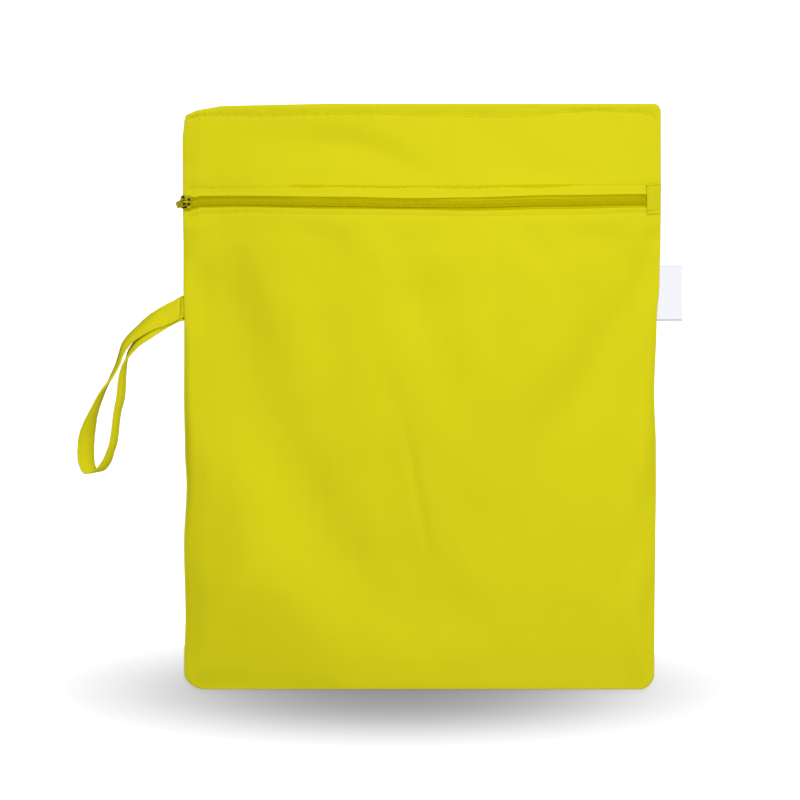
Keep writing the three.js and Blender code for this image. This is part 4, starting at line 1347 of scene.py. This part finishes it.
line = smooth_rows(strap_course(), STRAP_STEPS)
flat = np.hypot(line[:, 3], line[:, 4])
plump = 1 + STRAP_PLUMP * bell(flat, STANDING_LEAN)
curl = STRAP_CURL * ease(flat / CURLED_LEAN) * ease((FLAT_LEAN - flat) / 0.2)
steep = np.arccos(np.clip(flat / np.sinc(curl / 2 / np.pi), 0, 1))
edge = np.linspace(-0.5, 0.5, 25) * (1 - STRAP_THICK / STRAP_WIDTH)
angle = steep + curl * -edge[:, None]
step = (edge[1] - edge[0]) * STRAP_WIDTH
outward = added_up(np.cos(angle)) * step
upward = added_up(np.sin(angle)) * step
lean = line[:, 3:5] / np.maximum(flat, 1e-6)[:, None]
middle = np.empty((len(edge), len(line), 3))
middle[..., :2] = line[:, :2] + (outward - outward[-1:] / 2)[..., None] * lean
upper_half = np.arange(len(line)) < len(line) / 2
dent = ROOT_DENT * bell(line[:, 0] - LEFT + ROOT_DENT_OUT, ROOT_DENT_HALF) * upper_half
middle[..., 2] = line[:, 2] + upward + (plump - 1) * STRAP_THICK / 2 - dent
across = np.concatenate((np.cos(angle)[..., None] * lean, np.sin(angle)[..., None]), axis=-1)
facing = np.cross(np.gradient(middle, axis=1), across)
facing /= np.linalg.norm(facing, axis=-1, keepdims=True)
centre = middle[len(edge) // 2]
length = np.concatenate(([0], np.cumsum(np.linalg.norm(np.diff(centre, axis=0), axis=1))))
from_edge = (0.5 - np.abs(edge)) * STRAP_WIDTH
row_dip = EDGE_ROW_DIP * bell(from_edge - EDGE_ROW, EDGE_ROW_HALF)
puff = STRAP_THICK / 2 * (1 - 0.25 * np.exp(-from_edge / (1.2 * mm))) - row_dip


def strap_face(side):
    """Points of one face of the strap: its middle surface, and half the thickness and a ripple that dies
    away from the edges along its facing direction."""
    quilt = QUILT * ripple(length, QUILT_WAVE, 21)[None, :] * np.exp(-from_edge / QUILT_REACH)[:, None]
    return middle + (side * (puff[:, None] * plump + quilt))[..., None] * facing


strap_cloth = cloth_material("lime_knit_strap", "UV")
points, faces = closed_sheet(strap_face(1), strap_face(-1), 4)
uv_face = np.stack(np.meshgrid(length, edge * STRAP_WIDTH), axis=-1).reshape(-1, 2)[:, ::-1]
uv_rim = np.zeros((len(points) - 2 * len(uv_face), 2))
uv_strap = np.concatenate((uv_face, uv_face, uv_rim))
strap = make_piece("wrist_strap_cloth", points, faces, strap_cloth, uv_strap)
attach(strap, "bag")
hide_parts("wrist_strap")

# Zip end tab
# A folded piece of the cloth over the right end of the zip, caught in the side seam.
TAB_WIDE = 9.6 * mm
TAB_HIGH = 20.8 * mm
TAB_RISE = 2.5 * mm
TAB_TILT = 0.045
TAB_PAINTED_SHADE = 0.94
TAB_FALL = 0.5 * mm
TAB_FOLD = (0.3 * mm, 1.1 * mm)
BEHIND_FOLD = (1.9 * mm, 0.6 * mm)
HEM_SLANT = 1.4 * mm
HEM_UPPER = 1.9 * mm
HEM_LOWER = 1.3 * mm
HEM_HALF = 0.55 * mm
HEM_DEEP = 0.55 * mm
TAB_RIPPLE = 0.12 * mm


def tab_grid(lift):
    """Points of the tab: a rectangle beside the right seam, lying over the front at a lift. Its upper face
    is raised at the left fold, creased as exp(−d²) along slanted hems, tilted and rippled."""
    u, v = np.meshgrid(stations(30), stations(60))
    y = ZIP_Y + TAB_RISE + (v - 0.5) * (TAB_HIGH - CLOTH)
    x = side_edges(y)[1] - CLOTH / 2 - (TAB_WIDE - CLOTH) * (1 - u)
    slant = HEM_SLANT * u
    hems = bell((1 - v) * TAB_HIGH - HEM_UPPER + slant, HEM_HALF)
    hems += bell(v * TAB_HIGH - HEM_LOWER - slant, HEM_HALF)
    high, wide = TAB_FOLD
    behind, behind_wide = BEHIND_FOLD
    fold = bell(u * TAB_WIDE, wide) - 0.5 * bell(u * TAB_WIDE - behind, behind_wide)
    relief = high * fold - HEM_DEEP * hems + TAB_RIPPLE * ripple(y + 0.4 * x, 7 * mm, 41)
    relief += TAB_TILT * (v - 0.5) * TAB_HIGH - TAB_FALL * u**2
    return np.stack((x, y, front_height(x, y) + lift + (relief if lift > CLOTH else 0)), axis=-1)


points, faces = closed_sheet(tab_grid(2 * GAP + CLOTH), tab_grid(2 * GAP))
# The tab's cloth is the same knit made a little darker: painted shade.
tab_cloth = cloth_material("lime_knit_tab_shaded", "Object", TAB_PAINTED_SHADE)
tab = make_piece("zip_end_tab_cloth", points, faces, tab_cloth)
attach(tab, "bag")
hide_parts("zip_end_tab")

# Side label
# A short satin ribbon, folded in half with both ends in the right side seam, left bare.
LABEL_OUT = 15 * mm
LABEL_TUCK = 5 * mm
LABEL_SINK = 1 * mm
RIBBON = 0.3 * mm
RIBBON_COLOUR = (0.79, 0.79, 0.86)
RIBBON_DARKER = (0.77, 0.77, 0.845)
RIBBON_WEAVE = 0.35 * mm


def ribbon_material():
    """Satin ribbon: fine threads as a wave in the bump, slightly glossy."""
    material, tree, place = new_material("satin_ribbon")
    weave = sine_bands(tree, place, RIBBON_WEAVE, "Y", 0.5, 2.0)
    cover(tree, {
        "Base Color": mix_colours(tree, weave, RIBBON_DARKER, RIBBON_COLOUR),
        "Roughness": 0.5,
        "Specular IOR Level": 0.4,
        "Normal": bumped(tree, weave, 0.4, 0.04 * mm),
    })
    return material


def label_profile():
    """The folded ribbon's middle line seen from below: out along its lower layer, half a circle, back along
    its upper layer. Both sink towards the free edge."""
    out = np.linspace(-LABEL_TUCK, LABEL_OUT - LABEL_THICK / 2, 40)
    sink = LABEL_SINK * ease(out / LABEL_OUT)
    low = CLOTH + GAP + RIBBON / 2 - sink
    high = CLOTH + GAP + LABEL_THICK - RIBBON / 2 - sink
    turn = np.linspace(-np.pi / 2, np.pi / 2, 12)[1:-1]
    radius = (high[-1] - low[-1]) / 2
    fold_out = out[-1] + radius * np.cos(turn)
    fold_up = (high[-1] + low[-1]) / 2 + radius * np.sin(turn)
    return np.concatenate((out, fold_out, out[::-1])), np.concatenate((low, fold_up, high[::-1]))


out, up = label_profile()
normal_out, normal_up = np.gradient(up), -np.gradient(out)
size = np.hypot(normal_out, normal_up)
rows = np.linspace(-0.5, 0.5, 30) * (LABEL_HIGH - RIBBON)


def label_face(side):
    """Points of one face of the ribbon, half its thickness to a side of its middle line."""
    y = LABEL_Y + rows[:, None] + 0 * out[None]
    seam = side_edges(y)[1]
    share = np.clip(out / LABEL_OUT, 0, 1)[None]
    x = seam + out[None] + share * (RIGHT - seam)
    offset = side * RIBBON / 2
    z = up[None] + offset * normal_up / size + 0 * y
    return np.stack((x + offset * normal_out / size, y, z), axis=-1)


points, faces = closed_sheet(label_face(1), label_face(-1), 2)
label = make_piece("side_label_ribbon", points, faces, ribbon_material())
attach(label, "bag")
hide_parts("side_label")
